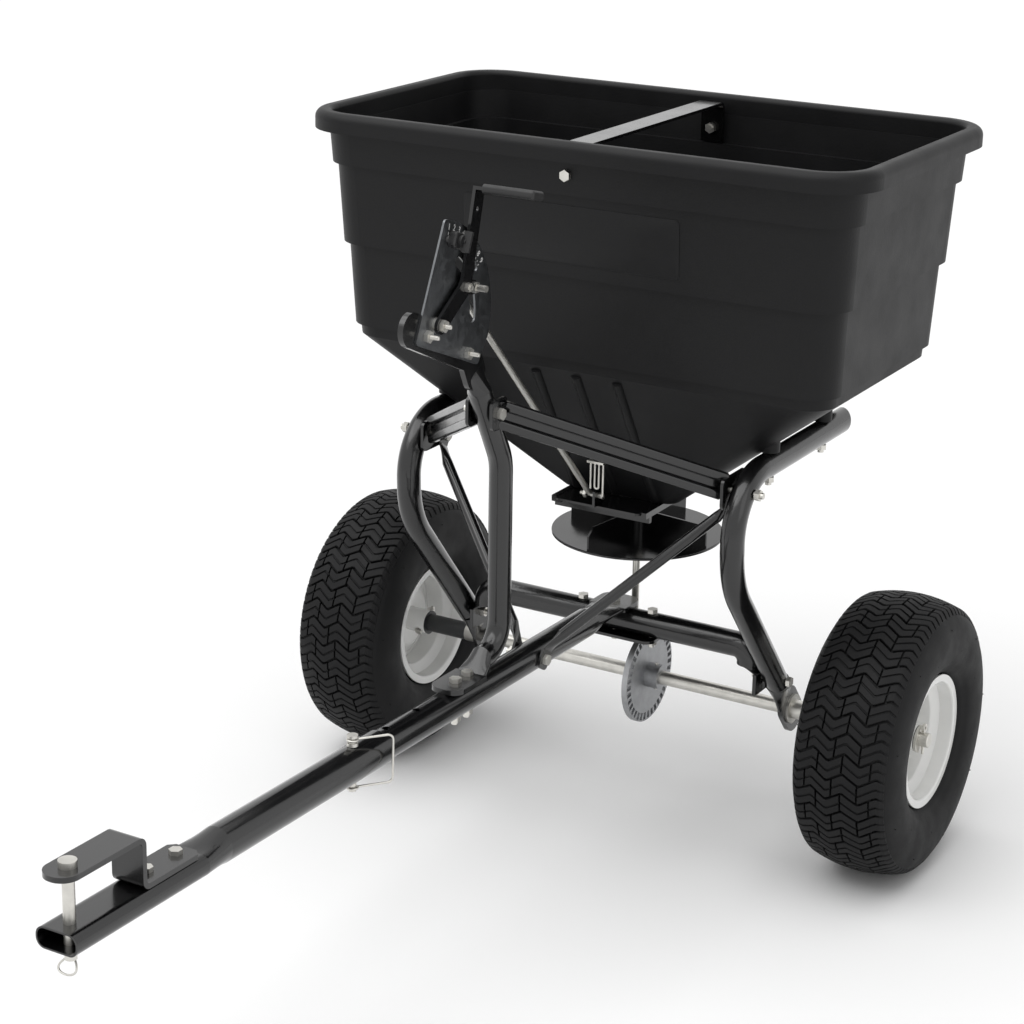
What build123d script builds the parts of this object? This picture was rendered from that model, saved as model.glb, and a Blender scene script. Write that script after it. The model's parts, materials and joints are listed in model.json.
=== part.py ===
from build123d import *
import math
import os

os.makedirs("parts", exist_ok=True)

# Tow-behind broadcast spreader, millimetres.
# +X runs along the axle, -Y points to the towing vehicle, +Z is up and the tyres stand on Z = 0.
# The origin lies on the floor in the middle of the overall length and width.

# Wheels and axle
TYRE_R = 184.0
TYRE_HALF_W = 70.0
WHEEL_X = 378.0
BEAD_R = 80.0
RIM_SHEET = 2.6
HUB_R = 17.0
HUB_IN = 330.0
HUB_OUT = 415.0
AXLE_R = 9.5
AXLE_HALF = 432.0
AXLE_Y = 489.34
AXLE_Z = TYRE_R
RUNNING = 0.05
SPLIT_PIN_X = 423.5

# Hopper
LIP_W = 775.0
LIP_D = 443.0
LIP_TOP = 948.0
LIP_BOTTOM = 924.0
LIP_WIDTH = 22.0
LIP_CORNER = 70.0
HOPPER_BACK = -13.6
WALL = 4.0
OUTLET_Z = 457.0
OUTLET_X = 84.0
OUTLET_Y = 65.0
PORT_FRONT = -58.0
PORT_BACK = -36.0

# Frame tubes
LEG_X = 235.0
LEG_R = 16.5
LEG_WALL = 2.0
LEG_RUN_Z = 552.0
LEG_BOLT_YS = (-105.0, 54.0)
CROSS_R = 17.0
CROSS_Y = -57.0
CROSS_Z = 283.0
UPRIGHT_R = 14.5
BOLT_R = 4.0

# Tongue, measured along its own slightly rising line
TONGUE_RISE = 1.06
TONGUE_Z = 299.0
REAR_R = 19.0
FRONT_R = 21.2
TUBE_WALL = 2.0
LOCK_A = -679.0
HITCH_PIN_A = -1162.0
HITCH_PIN_R = 6.35
NOSE_A = -1188.0

# Spinner and its drive
SHAFT_R = 5.0
DISC_R = 115.6
DISC_Z = 386.5
GEAR_R = 66.0
GEAR_X = 17.5
GEAR_T = 8.0
SLOTS = 36
SLOT_IN = 54.0
SLOT_OUT = 64.0
SLOT_W = 6.2
TEETH = 12
TOOTH_TIP = 22.5
TOOTH_ROOT = 15.0
PINION_Z = 239.2
PINION_H = 6.6

# Flow control
PIVOT = (-516.0, 786.0)
PLATE_X = 3.5
PLATE_T = 2.5
PLATE_R = 118.0
PIN_ORBIT = 78.0
PIN_ANGLE = 22.0
STOP_ORBIT = 97.0
STOP_ANGLE = 67.5
LEVER_X = 10.0
LEVER_T = 4.0
ROD_X = -14.0
ROD_R = 4.0
LUG = (-110.0, 468.0)

# Working planes through the axle line
SIDE = Plane(origin=(0, AXLE_Y, 0), x_dir=(0, 1, 0), z_dir=(1, 0, 0))
TOP = Plane(origin=(0, AXLE_Y, 0), x_dir=(1, 0, 0), z_dir=(0, 0, 1))
FRONT = Plane(origin=(0, AXLE_Y, 0), x_dir=(1, 0, 0), z_dir=(0, -1, 0))
RISE = math.radians(TONGUE_RISE)
TONGUE = Plane(
    origin=(0, AXLE_Y, TONGUE_Z),
    x_dir=(1, 0, 0),
    z_dir=(0, math.sin(RISE), math.cos(RISE)),
)
TONGUE_UP = TONGUE.z_dir
TONGUE_SIDE = Plane(origin=TONGUE.origin, x_dir=TONGUE.y_dir, z_dir=(1, 0, 0))
AXLE_LINE = Axis((0, AXLE_Y, AXLE_Z), (1, 0, 0))
ALONG_X = (1, 0, 0)
DOWN = (0, 0, -1)


def at(x, y, z):
    """Point given from the axle line: x across, y to the rear, z above the floor."""
    return Vector(x, AXLE_Y + y, z)


def on_tongue(x, a, h):
    """Point given along the tongue line: a to the rear, h above its centre line."""
    return TONGUE.from_local_coords((x, a, h))


def across_tongue(a, h=0.0):
    """Plane square to the tongue, looking forward."""
    return Plane(origin=on_tongue(0, a, h), x_dir=(1, 0, 0), z_dir=-TONGUE.y_dir)


def crimp_plane(a, h=0.0):
    """The same plane turned so that its first axis points up, the thin way of a crimp."""
    return Plane(origin=on_tongue(0, a, h), x_dir=TONGUE_UP, z_dir=-TONGUE.y_dir)


def polar(radius, degrees):
    """Side-view point at a radius and an angle round the lever pivot."""
    turn = math.radians(degrees)
    return (PIVOT[0] + radius * math.cos(turn), PIVOT[1] + radius * math.sin(turn))


def pin_solid(start, direction, radius, length):
    """Round pin from a start point."""
    with BuildSketch(Plane(origin=start, z_dir=direction)) as section:
        Circle(radius)
    extrude(section.sketch, amount=length)


def bore(start, direction, radius, length):
    """Round hole from a start point."""
    with BuildSketch(Plane(origin=start, z_dir=direction)) as section:
        Circle(radius)
    extrude(section.sketch, amount=length, mode=Mode.SUBTRACT)


def washer(start, direction, outer, inner, thick):
    """Flat ring from a start point."""
    with BuildSketch(Plane(origin=start, z_dir=direction)) as section:
        Circle(outer)
        Circle(inner, mode=Mode.SUBTRACT)
    extrude(section.sketch, amount=thick)


def hex_bolt(seat, direction, grip, radius=BOLT_R, spare=4.0):
    """Hexagon bolt: the head sits at the seat point, the nut one grip further on."""
    plane = Plane(origin=seat, z_dir=direction)
    with BuildSketch(plane) as shank:
        Circle(radius)
    extrude(shank.sketch, amount=grip + 1.6 * radius + spare)
    with BuildSketch(plane) as head:
        RegularPolygon(1.85 * radius, 6)
    extrude(head.sketch, amount=-1.3 * radius)
    with BuildSketch(plane.offset(grip)) as nut:
        RegularPolygon(1.85 * radius, 6)
    extrude(nut.sketch, amount=1.6 * radius)


def round_to_flat(round_plane, radius, flat_plane, wide, thick):
    """Crimped end of a tube between its round section and its flat section."""
    with BuildSketch(round_plane) as circle:
        Circle(radius)
    with BuildSketch(flat_plane) as flat:
        RectangleRounded(wide, thick, 0.45 * min(wide, thick))
    loft([circle.sketch.face(), flat.sketch.face()])


def level(z):
    """Horizontal plane at the middle of the hopper."""
    return Plane(origin=at(0, HOPPER_BACK, z))


def rounded_frustum(z_top, inset_top, z_low, inset_low, corner, mode=Mode.ADD):
    """Slightly tapered hopper band between two rounded rectangles."""
    with BuildSketch(level(z_low)) as low:
        RectangleRounded(LIP_W - 2 * inset_low, LIP_D - 2 * inset_low, corner)
    with BuildSketch(level(z_top)) as high:
        RectangleRounded(LIP_W - 2 * inset_top, LIP_D - 2 * inset_top, corner)
    loft([low.sketch.face(), high.sketch.face()], ruled=True, mode=mode)


def funnel(z_top, inset, corner_top, z_low, half_x, half_y, corner_low, mode=Mode.ADD):
    """Sloping lower part of the hopper down to the outlet."""
    with BuildSketch(TOP.offset(z_low)) as low:
        RectangleRounded(2 * half_x, 2 * half_y, corner_low)
    with BuildSketch(level(z_top)) as high:
        RectangleRounded(LIP_W - 2 * inset, LIP_D - 2 * inset, corner_top)
    loft([low.sketch.face(), high.sketch.face()], ruled=True, mode=mode)


# Hopper: three stepped bands, a sloping funnel, a rolled lip that is hollow from below.
# Each band is given as top height, top inset, bottom height, bottom inset, corner radius.
BANDS = (
    (930.0, LIP_WIDTH - WALL, 880.0, 21.0, 52.0),
    (880.0, 27.5, 776.0, 32.5, 46.0),
    (776.0, 39.0, 667.0, 44.0, 42.0),
    (667.0, 50.0, 652.0, 51.0, 38.0),
)
FUNNEL_TOP = 652.0
FUNNEL_INSET = 51.0
FRONT_SLOPE_TOP = HOPPER_BACK - LIP_D / 2 + FUNNEL_INSET
RIB_XS = (-58.0, 0.0, 58.0)
SEAT_TOP = 587.0
STRAP_BOLT_Z = 905.0

with BuildPart() as hopper:
    for z_top, inset_top, z_low, inset_low, corner in BANDS:
        rounded_frustum(z_top, inset_top, z_low, inset_low, corner)
    funnel(FUNNEL_TOP, FUNNEL_INSET, 38, OUTLET_Z, OUTLET_X, OUTLET_Y, 18)
    for rib_x in RIB_XS:
        with BuildLine() as rib_line:
            Line(at(rib_x, FRONT_SLOPE_TOP + 6, 646), at(rib_x, -OUTLET_Y + 1, OUTLET_Z + 4))
        with BuildSketch(Plane(origin=rib_line.line @ 0, z_dir=rib_line.line % 0)):
            Circle(7)
        sweep(path=rib_line.line)
    with BuildSketch(level(LIP_BOTTOM)):
        RectangleRounded(LIP_W, LIP_D, LIP_CORNER)
    extrude(amount=LIP_TOP - LIP_BOTTOM)
    top_rim = hopper.faces().sort_by(Axis.Z)[-1].edges()
    fillet(top_rim, radius=11)
    # underside of the lip is an open channel
    with BuildSketch(level(LIP_BOTTOM)):
        RectangleRounded(LIP_W - 7, LIP_D - 7, LIP_CORNER - 3.5)
        RectangleRounded(
            LIP_W - 2 * LIP_WIDTH + 2 * WALL,
            LIP_D - 2 * LIP_WIDTH + 2 * WALL,
            LIP_CORNER - LIP_WIDTH + WALL,
            mode=Mode.SUBTRACT,
        )
    extrude(amount=13, mode=Mode.SUBTRACT)
    # moulded seats for the leg bolts
    for seat_x in (-LEG_X, LEG_X):
        for seat_y in LEG_BOLT_YS:
            pin_solid(at(seat_x, seat_y, LEG_RUN_Z + LEG_R + 0.2), (0, 0, 1), 12.5, 12)
    # inside follows the outside at one wall thickness
    with BuildSketch(level(LIP_BOTTOM - 2)):
        RectangleRounded(
            LIP_W - 2 * LIP_WIDTH, LIP_D - 2 * LIP_WIDTH, LIP_CORNER - LIP_WIDTH
        )
    extrude(amount=LIP_TOP - LIP_BOTTOM + 6, mode=Mode.SUBTRACT)
    for z_top, inset_top, z_low, inset_low, corner in BANDS:
        rounded_frustum(
            z_top + WALL + 0.2, inset_top + WALL, z_low + WALL, inset_low + WALL,
            corner - WALL, Mode.SUBTRACT,
        )
    funnel(
        FUNNEL_TOP + WALL + 0.2, FUNNEL_INSET + WALL, 34,
        OUTLET_Z + WALL, OUTLET_X - 1, OUTLET_Y - 1.5, 17, Mode.SUBTRACT,
    )
    for seat_x in (-LEG_X, LEG_X):
        for seat_y in LEG_BOLT_YS:
            pin_solid(at(seat_x, seat_y, LEG_RUN_Z + LEG_R + 9), (0, 0, 1), 12.5, SEAT_TOP - 577.5)
            bore(at(seat_x, seat_y, 560), (0, 0, 1), BOLT_R + 0.1, 40)
    # outlet, shaft hole and strap bolt holes
    with BuildSketch(TOP.offset(OUTLET_Z - 1)):
        with Locations((0, (PORT_FRONT + PORT_BACK) / 2)):
            RectangleRounded(70, PORT_BACK - PORT_FRONT, 6)
    extrude(amount=WALL + 2, mode=Mode.SUBTRACT)
    bore(at(0, 0, OUTLET_Z - 1), (0, 0, 1), 9, WALL + 2)
    bore(at(0, -300, STRAP_BOLT_Z), (0, 1, 0), BOLT_R + 0.1, 600)
    fillet(hopper.faces().sort_by(Axis.Z)[-1].inner_wires()[0].edges(), radius=6)
hopper.part.label = "hopper"
export_step(hopper.part, "parts/hopper.step")

# Strap across the hopper mouth with its two bolts
FRONT_WALL = HOPPER_BACK - LIP_D / 2 + 20.0
BACK_WALL = HOPPER_BACK + LIP_D / 2 - 20.0
with BuildPart() as hopper_strap:
    with BuildSketch(SIDE.offset(-16)):
        with BuildLine() as strap_line:
            FilletPolyline(
                (FRONT_WALL + 9, 886), (FRONT_WALL + 9, 938), (BACK_WALL - 9, 938),
                (BACK_WALL - 9, 886), radius=8,
            )
        trace(line_width=4)
    extrude(amount=32)
    bore(at(0, -300, STRAP_BOLT_Z), (0, 1, 0), BOLT_R + 0.1, 600)
hopper_strap.part.label = "hopper_strap"
export_step(hopper_strap.part, "parts/hopper_strap.step")

with BuildPart() as strap_bolts:
    hex_bolt(at(0, FRONT_WALL - 1.1, STRAP_BOLT_Z), (0, 1, 0), 12.3, spare=2)
    hex_bolt(at(0, BACK_WALL + 1.1, STRAP_BOLT_Z), (0, -1, 0), 12.3, spare=2)
strap_bolts.part.label = "strap_bolts"
export_step(strap_bolts.part, "parts/strap_bolts.step")

# Bent tube legs, crimped flat round the axle
LEG_DIR = Vector(0, -200, 238).normalized()
LEG_FOOT = at(LEG_X, 0, AXLE_Z)
LEG_SLOPE = math.degrees(math.atan2(238, -200))
LEG_SPREAD = LEG_DIR * 70
CROSS_BOLT = (-49.5, 243.0)
STRUT_BOLT = (-176.0, 534.5)

with BuildPart() as right_leg:
    with BuildLine(SIDE.offset(LEG_X)) as leg_line:
        FilletPolyline(
            (LEG_SPREAD.Y, AXLE_Z + LEG_SPREAD.Z), (-200, 422), (-203, LEG_RUN_Z),
            (120, LEG_RUN_Z), radius=[120, 75],
        )
    leg_start = Plane(origin=leg_line.line @ 0, x_dir=(1, 0, 0), z_dir=LEG_DIR).rotated((0, 0, 37))
    with BuildSketch(leg_start):
        Circle(LEG_R)
        Circle(LEG_R - LEG_WALL, mode=Mode.SUBTRACT)
    sweep(path=leg_line.line)
    round_to_flat(
        Plane(origin=LEG_FOOT + LEG_DIR * 70.5, x_dir=(1, 0, 0), z_dir=LEG_DIR), LEG_R,
        Plane(origin=LEG_FOOT + LEG_DIR * 26, x_dir=(1, 0, 0), z_dir=LEG_DIR), 5.2, 44,
    )
    with BuildSketch(SIDE.offset(LEG_X - 3)):
        with Locations((0, AXLE_Z)):
            SlotCenterToCenter(28, 48, rotation=LEG_SLOPE)
    extrude(amount=6)
    bore(at(LEG_X - 20, 0, AXLE_Z), ALONG_X, 12.85, 40)
    bore(at(LEG_X - 20, *CROSS_BOLT), ALONG_X, BOLT_R + 0.1, 40)
    bore(at(LEG_X - 20, *STRUT_BOLT), ALONG_X, BOLT_R + 0.1, 40)
    for seat_y in LEG_BOLT_YS:
        bore(at(LEG_X, seat_y, LEG_RUN_Z - 20), (0, 0, 1), BOLT_R + 0.1, 40)
right_leg.part.label = "right_leg"
export_step(right_leg.part, "parts/right_leg.step")

with BuildPart() as left_leg:
    mirror(right_leg.part, about=Plane.YZ)
left_leg.part.label = "left_leg"
export_step(left_leg.part, "parts/left_leg.step")

with BuildPart() as leg_bolts:
    for seat_x in (-LEG_X, LEG_X):
        for seat_y in LEG_BOLT_YS:
            hex_bolt(at(seat_x, seat_y, SEAT_TOP), DOWN, SEAT_TOP - LEG_RUN_Z + LEG_R)
leg_bolts.part.label = "leg_bolts"
export_step(leg_bolts.part, "parts/leg_bolts.step")

# Cross tube with ends bent down and crimped against the legs
with BuildPart() as cross_tube:
    with BuildLine(Plane(origin=at(0, CROSS_Y, 0), x_dir=(1, 0, 0), z_dir=(0, -1, 0))) as cross_line:
        FilletPolyline(
            (-200, 260), (-200, CROSS_Z), (200, CROSS_Z), (200, 260), radius=20,
        )
    with BuildSketch(Plane(origin=cross_line.line @ 0, z_dir=cross_line.line % 0)):
        Circle(CROSS_R)
        Circle(CROSS_R - LEG_WALL, mode=Mode.SUBTRACT)
    sweep(path=cross_line.line)
    for side in (-1, 1):
        round_to_flat(
            Plane(origin=at(side * 200, CROSS_Y, 261)), CROSS_R,
            Plane(origin=at(side * 215.3, -53, 251.5)), 5, 38,
        )
        with BuildSketch(Plane(origin=at(side * 215.3, -53, 252))):
            RectangleRounded(5.6, 42, 1)
        extrude(amount=-28)
        bore(at(side * 205, *CROSS_BOLT), (side, 0, 0), BOLT_R + 0.1, 20)
    for bolt_x in (-49, 0, 56):
        bore(at(bolt_x, CROSS_Y, 260), (0, 0, 1), BOLT_R + 0.1, 60)
cross_tube.part.label = "cross_tube"
export_step(cross_tube.part, "parts/cross_tube.step")

with BuildPart() as cross_bolts:
    for side in (-1, 1):
        hex_bolt(at(side * (LEG_X + LEG_R), *CROSS_BOLT), (-side, 0, 0), 39.1)
cross_bolts.part.label = "cross_bolts"
export_step(cross_bolts.part, "parts/cross_bolts.step")

# Plate under the cross tube that carries the lower spinner bearing
PLATE_TOP = CROSS_Z - CROSS_R
with BuildPart() as bearing_plate:
    with BuildSketch(TOP.offset(PLATE_TOP - 4)):
        with Locations((2, -29)):
            RectangleRounded(128, 102, 14)
    extrude(amount=4)
    for bolt_x in (-49, 0, 56):
        bore(at(bolt_x, CROSS_Y, 250), (0, 0, 1), BOLT_R + 0.1, 30)
    bore(at(0, 0, 250), (0, 0, 1), 10, 30)
bearing_plate.part.label = "bearing_plate"
export_step(bearing_plate.part, "parts/bearing_plate.step")

with BuildPart() as bearing_bolts:
    for bolt_x in (-49, 56):
        hex_bolt(at(bolt_x, CROSS_Y, CROSS_Z + CROSS_R), DOWN, 2 * CROSS_R + 4)
    hex_bolt(at(0, CROSS_Y, TONGUE_Z + 7.6), DOWN, TONGUE_Z + 7.6 - PLATE_TOP + 4)
bearing_bolts.part.label = "bearing_bolts"
export_step(bearing_bolts.part, "parts/bearing_bolts.step")

with BuildPart() as shaft_bushes:
    pin_solid(at(0, 0, PLATE_TOP - 10), (0, 0, 1), 9.95, 10)
    pin_solid(at(0, 0, PLATE_TOP), (0, 0, 1), 15, 4)
    pin_solid(at(0, 0, OUTLET_Z - 3), (0, 0, 1), 8.95, WALL + 3)
    pin_solid(at(0, 0, OUTLET_Z + WALL), (0, 0, 1), 14, 3)
    bore(at(0, 0, 240), (0, 0, 1), SHAFT_R + RUNNING, 240)
shaft_bushes.part.label = "shaft_bushes"
export_step(shaft_bushes.part, "parts/shaft_bushes.step")

# Spinner: shaft, disc with four vanes, stirring wire and pinion
with BuildPart() as spinner_shaft:
    pin_solid(at(0, 0, 232), (0, 0, 1), SHAFT_R, 273)
    chamfer(spinner_shaft.edges().group_by(Axis.Z)[-1], length=1)
    bore(at(-10, 0, 490), ALONG_X, 2.05, 20)
spinner_shaft.part.label = "spinner_shaft"
export_step(spinner_shaft.part, "parts/spinner_shaft.step")

with BuildPart() as spinner_disc:
    pin_solid(at(0, 0, DISC_Z), (0, 0, 1), DISC_R, 3)
    fillet(spinner_disc.edges().group_by(Axis.Z)[-1], radius=1.2)
    pin_solid(at(0, 0, DISC_Z - 8), (0, 0, 1), 12, 46)
    for quarter in range(4):
        turn = math.radians(-8 + 90 * quarter)
        vane_plane = Plane(
            origin=at(0, 0, DISC_Z + 2),
            x_dir=(math.cos(turn), math.sin(turn), 0),
            z_dir=(math.sin(turn), -math.cos(turn), 0),
        )
        with BuildSketch(vane_plane) as vane:
            with BuildLine():
                Polyline((8, 0), (111, 0), (111, 20), (100, 31), (8, 31), close=True)
            make_face()
        extrude(vane.sketch, amount=1.3, both=True)
    bore(at(0, 0, DISC_Z - 10), (0, 0, 1), SHAFT_R + 0.02, 60)
    bore(at(0, 0, 423), (0.7, -0.7, 0), 2.55, 20)
spinner_disc.part.label = "spinner_disc"
export_step(spinner_disc.part, "parts/spinner_disc.step")

with BuildPart() as hub_screw:
    pin_solid(at(0, 0, 423) + Vector(0.7, -0.7, 0).normalized() * 5.1, (0.7, -0.7, 0), 2.5, 9)
    pin_solid(at(0, 0, 423) + Vector(0.7, -0.7, 0).normalized() * 12.2, (0.7, -0.7, 0), 4.5, 4)
hub_screw.part.label = "hub_screw"
export_step(hub_screw.part, "parts/hub_screw.step")

with BuildPart() as agitator:
    with BuildLine(FRONT) as stir_line:
        FilletPolyline((-46, 478), (-34, 490), (34, 490), (46, 502), radius=8)
    with BuildSketch(Plane(origin=stir_line.line @ 0, z_dir=stir_line.line % 0)):
        Circle(2)
    sweep(path=stir_line.line)
agitator.part.label = "agitator"
export_step(agitator.part, "parts/agitator.step")

# Pinion whose teeth reach into the slots of the drive gear
with BuildPart() as pinion:
    with BuildSketch(TOP.offset(PINION_Z)):
        Circle(TOOTH_ROOT)
        with PolarLocations(0, TEETH):
            Polygon(
                (TOOTH_ROOT - 1, -3.0), (19.0, -2.1), (TOOTH_TIP, -0.9),
                (TOOTH_TIP, 0.9), (19.0, 2.1), (TOOTH_ROOT - 1, 3.0), align=None,
            )
    extrude(amount=PINION_H)
    pin_solid(at(0, 0, PINION_Z + PINION_H), (0, 0, 1), 11, 6)
    bore(at(0, 0, 230), (0, 0, 1), SHAFT_R + 0.02, 40)
pinion.part.label = "pinion"
export_step(pinion.part, "parts/pinion.step")

# Drive gear: a flat cast wheel with radial slots in place of teeth
with BuildPart() as drive_gear:
    with BuildSketch(SIDE.offset(GEAR_X)):
        with Locations((0, AXLE_Z)):
            Circle(GEAR_R)
            with PolarLocations((SLOT_IN + SLOT_OUT) / 2, SLOTS, start_angle=90):
                Rectangle(SLOT_OUT - SLOT_IN, SLOT_W, mode=Mode.SUBTRACT)
    extrude(amount=GEAR_T)
    pin_solid(at(GEAR_X + GEAR_T, 0, AXLE_Z), ALONG_X, 17, 19)
    bore(at(0, 0, AXLE_Z), ALONG_X, AXLE_R + 0.03, 60)
    bore(at(36, 0, AXLE_Z - 30), (0, 0, 1), 2.55, 60)
drive_gear.part.label = "drive_gear"
export_step(drive_gear.part, "parts/drive_gear.step")

with BuildPart() as gear_pin:
    pin_solid(at(36, 0, AXLE_Z - 19), (0, 0, 1), 2.5, 38)
gear_pin.part.label = "gear_pin"
export_step(gear_pin.part, "parts/gear_pin.step")

DRIVE_DIR = Vector(0, 38, 23.6).normalized()
DRIVE_X = -(HUB_IN + 9)
with BuildPart() as axle:
    pin_solid(at(-AXLE_HALF, 0, AXLE_Z), ALONG_X, AXLE_R, 2 * AXLE_HALF)
    chamfer(axle.edges().filter_by(GeomType.CIRCLE), length=1.2)
    bore(at(36, 0, AXLE_Z - 20), (0, 0, 1), 2.55, 40)
    bore(at(DRIVE_X, 0, AXLE_Z) - DRIVE_DIR * 20, DRIVE_DIR, 3.05, 40)
    for side in (-1, 1):
        bore(at(side * SPLIT_PIN_X, 0, AXLE_Z - 20), (0, 0, 1), 2.05, 40)
axle.part.label = "axle"
export_step(axle.part, "parts/axle.step")

with BuildPart() as axle_bushes:
    for side in (-1, 1):
        pin_solid(at(side * 229, 0, AXLE_Z), (side, 0, 0), 12.8, 36)
        pin_solid(at(side * (LEG_X + 3.1), 0, AXLE_Z), (side, 0, 0), 20, 3)
    bore(at(-300, 0, AXLE_Z), ALONG_X, AXLE_R + RUNNING, 600)
axle_bushes.part.label = "axle_bushes"
export_step(axle_bushes.part, "parts/axle_bushes.step")

with BuildPart() as wheel_spacers:
    for side in (-1, 1):
        washer(at(side * 265.5, 0, AXLE_Z), (side, 0, 0), 12.5, AXLE_R + 0.1, HUB_IN - 266.9)
wheel_spacers.part.label = "wheel_spacers"
export_step(wheel_spacers.part, "parts/wheel_spacers.step")

with BuildPart() as end_washers:
    for side in (-1, 1):
        washer(at(side * (HUB_OUT + 1.5), 0, AXLE_Z), (side, 0, 0), 18, AXLE_R + 0.1, 3)
end_washers.part.label = "end_washers"
export_step(end_washers.part, "parts/end_washers.step")

with BuildPart() as split_pins:
    for side in (-1, 1):
        pin_solid(at(side * SPLIT_PIN_X, 0, AXLE_Z - 20), (0, 0, 1), 2, 34)
        washer(at(side * SPLIT_PIN_X - 1.9, 0, AXLE_Z + 16.5), ALONG_X, 5.4, 2.2, 3.8)
split_pins.part.label = "split_pins"
export_step(split_pins.part, "parts/split_pins.step")

# Wheels: hollow tyre casing on a pressed two-flange rim with a dished disc and hub
with BuildPart() as right_tyre:
    with BuildSketch(Plane(origin=at(WHEEL_X, 0, AXLE_Z), x_dir=(1, 0, 0), z_dir=(0, -1, 0))):
        with BuildLine():
            Polyline((-53, 90), (-53, BEAD_R + 0.05), (-40, BEAD_R + 0.05), (-42, 92))
            ThreePointArc((-42, 92), (-58, 112), (-60, 134))
            ThreePointArc((-60, 134), (-57.5, 153), (-46, 166))
            ThreePointArc((-46, 166), (0, 172), (46, 166))
            ThreePointArc((46, 166), (57.5, 153), (60, 134))
            ThreePointArc((60, 134), (58, 112), (42, 92))
            Polyline((42, 92), (40, BEAD_R + 0.05), (53, BEAD_R + 0.05), (53, 90))
            ThreePointArc((53, 90), (67, 109), (TYRE_HALF_W, 132))
            ThreePointArc((TYRE_HALF_W, 132), (67, 158), (54, 175))
            ThreePointArc((54, 175), (0, TYRE_R), (-54, 175))
            ThreePointArc((-54, 175), (-67, 158), (-TYRE_HALF_W, 132))
            ThreePointArc((-TYRE_HALF_W, 132), (-67, 109), (-53, 90))
        make_face()
    revolve(axis=AXLE_LINE)
right_tyre.part.label = "right_tyre"
export_step(right_tyre.part, "parts/right_tyre.step")

with BuildPart() as left_tyre:
    mirror(right_tyre.part, about=Plane.YZ)
left_tyre.part.label = "left_tyre"
export_step(left_tyre.part, "parts/left_tyre.step")

SEAT_LINE_R = BEAD_R - RIM_SHEET / 2
with BuildPart() as right_rim:
    with BuildSketch(FRONT):
        with BuildLine() as barrel_line:
            FilletPolyline(
                (WHEEL_X - 55, AXLE_Z + 88), (WHEEL_X - 55, AXLE_Z + SEAT_LINE_R),
                (WHEEL_X - 36, AXLE_Z + SEAT_LINE_R), (WHEEL_X - 28, AXLE_Z + 66),
                (WHEEL_X + 28, AXLE_Z + 66), (WHEEL_X + 36, AXLE_Z + SEAT_LINE_R),
                (WHEEL_X + 55, AXLE_Z + SEAT_LINE_R), (WHEEL_X + 55, AXLE_Z + 88), radius=1.35,
            )
        trace(line_width=RIM_SHEET)
        with BuildLine() as disc_line:
            FilletPolyline(
                (WHEEL_X - 2, AXLE_Z + 66), (WHEEL_X - 2, AXLE_Z + 58),
                (WHEEL_X - 14, AXLE_Z + 40), (WHEEL_X - 14, AXLE_Z + HUB_R - 1), radius=8,
            )
        trace(line_width=RIM_SHEET)
        with Locations(((HUB_IN + HUB_OUT) / 2, AXLE_Z + (HUB_R + 13) / 2)):
            Rectangle(HUB_OUT - HUB_IN, HUB_R - 13)
    revolve(axis=AXLE_LINE)
right_rim.part.label = "right_rim"
export_step(right_rim.part, "parts/right_rim.step")

with BuildPart() as left_rim:
    mirror(right_rim.part, about=Plane.YZ)
    bore(at(DRIVE_X, 0, AXLE_Z) - DRIVE_DIR * 25, DRIVE_DIR, 3.05, 50)
left_rim.part.label = "left_rim"
export_step(left_rim.part, "parts/left_rim.step")

with BuildPart() as right_hub_bushes:
    for start, along in ((HUB_IN, 1), (HUB_OUT, -1)):
        pin_solid(at(start, 0, AXLE_Z), (along, 0, 0), 12.95, 26)
        pin_solid(at(start, 0, AXLE_Z), (-along, 0, 0), HUB_R, 1)
    bore(at(HUB_IN - 5, 0, AXLE_Z), ALONG_X, AXLE_R + RUNNING, 100)
right_hub_bushes.part.label = "right_hub_bushes"
export_step(right_hub_bushes.part, "parts/right_hub_bushes.step")

with BuildPart() as left_hub_bushes:
    mirror(right_hub_bushes.part, about=Plane.YZ)
    bore(at(DRIVE_X, 0, AXLE_Z) - DRIVE_DIR * 25, DRIVE_DIR, 3.05, 50)
left_hub_bushes.part.label = "left_hub_bushes"
export_step(left_hub_bushes.part, "parts/left_hub_bushes.step")

with BuildPart() as drive_bolt:
    hex_bolt(at(DRIVE_X, 0, AXLE_Z) - DRIVE_DIR * 17.2, DRIVE_DIR, 34.4, radius=3)
drive_bolt.part.label = "drive_bolt"
export_step(drive_bolt.part, "parts/drive_bolt.step")

# Tongue: rear tube crimped onto the cross tube, front tube sliding over it
TAB_A = -80.0
with BuildPart() as tongue_rear:
    with BuildSketch(across_tongue(-140)):
        Circle(REAR_R)
        Circle(REAR_R - TUBE_WALL, mode=Mode.SUBTRACT)
    extrude(amount=650)
    round_to_flat(crimp_plane(-140), REAR_R, crimp_plane(TAB_A + 2, 3.3), 5.4, 50)
    with BuildSketch(TONGUE.offset(0.3)):
        with Locations((0, (TAB_A - 32) / 2)):
            RectangleRounded(54, -32 - TAB_A + 2, 16)
        with Locations((0, TAB_A + 12)):
            Rectangle(54, 24)
    extrude(amount=6)
    bore(at(0, CROSS_Y, 280), (0, 0, 1), BOLT_R + 0.1, 50)
    for hole_a in (-547, -612, LOCK_A):
        bore(on_tongue(0, hole_a, -30), TONGUE_UP, 4.6, 60)
    for hole_a in (-461, -434):
        bore(on_tongue(0, hole_a, -30), TONGUE_UP, BOLT_R + 0.1, 60)
    bore(on_tongue(-30, -283, 0), ALONG_X, BOLT_R + 0.1, 60)
tongue_rear.part.label = "tongue_rear"
export_step(tongue_rear.part, "parts/tongue_rear.step")

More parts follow.
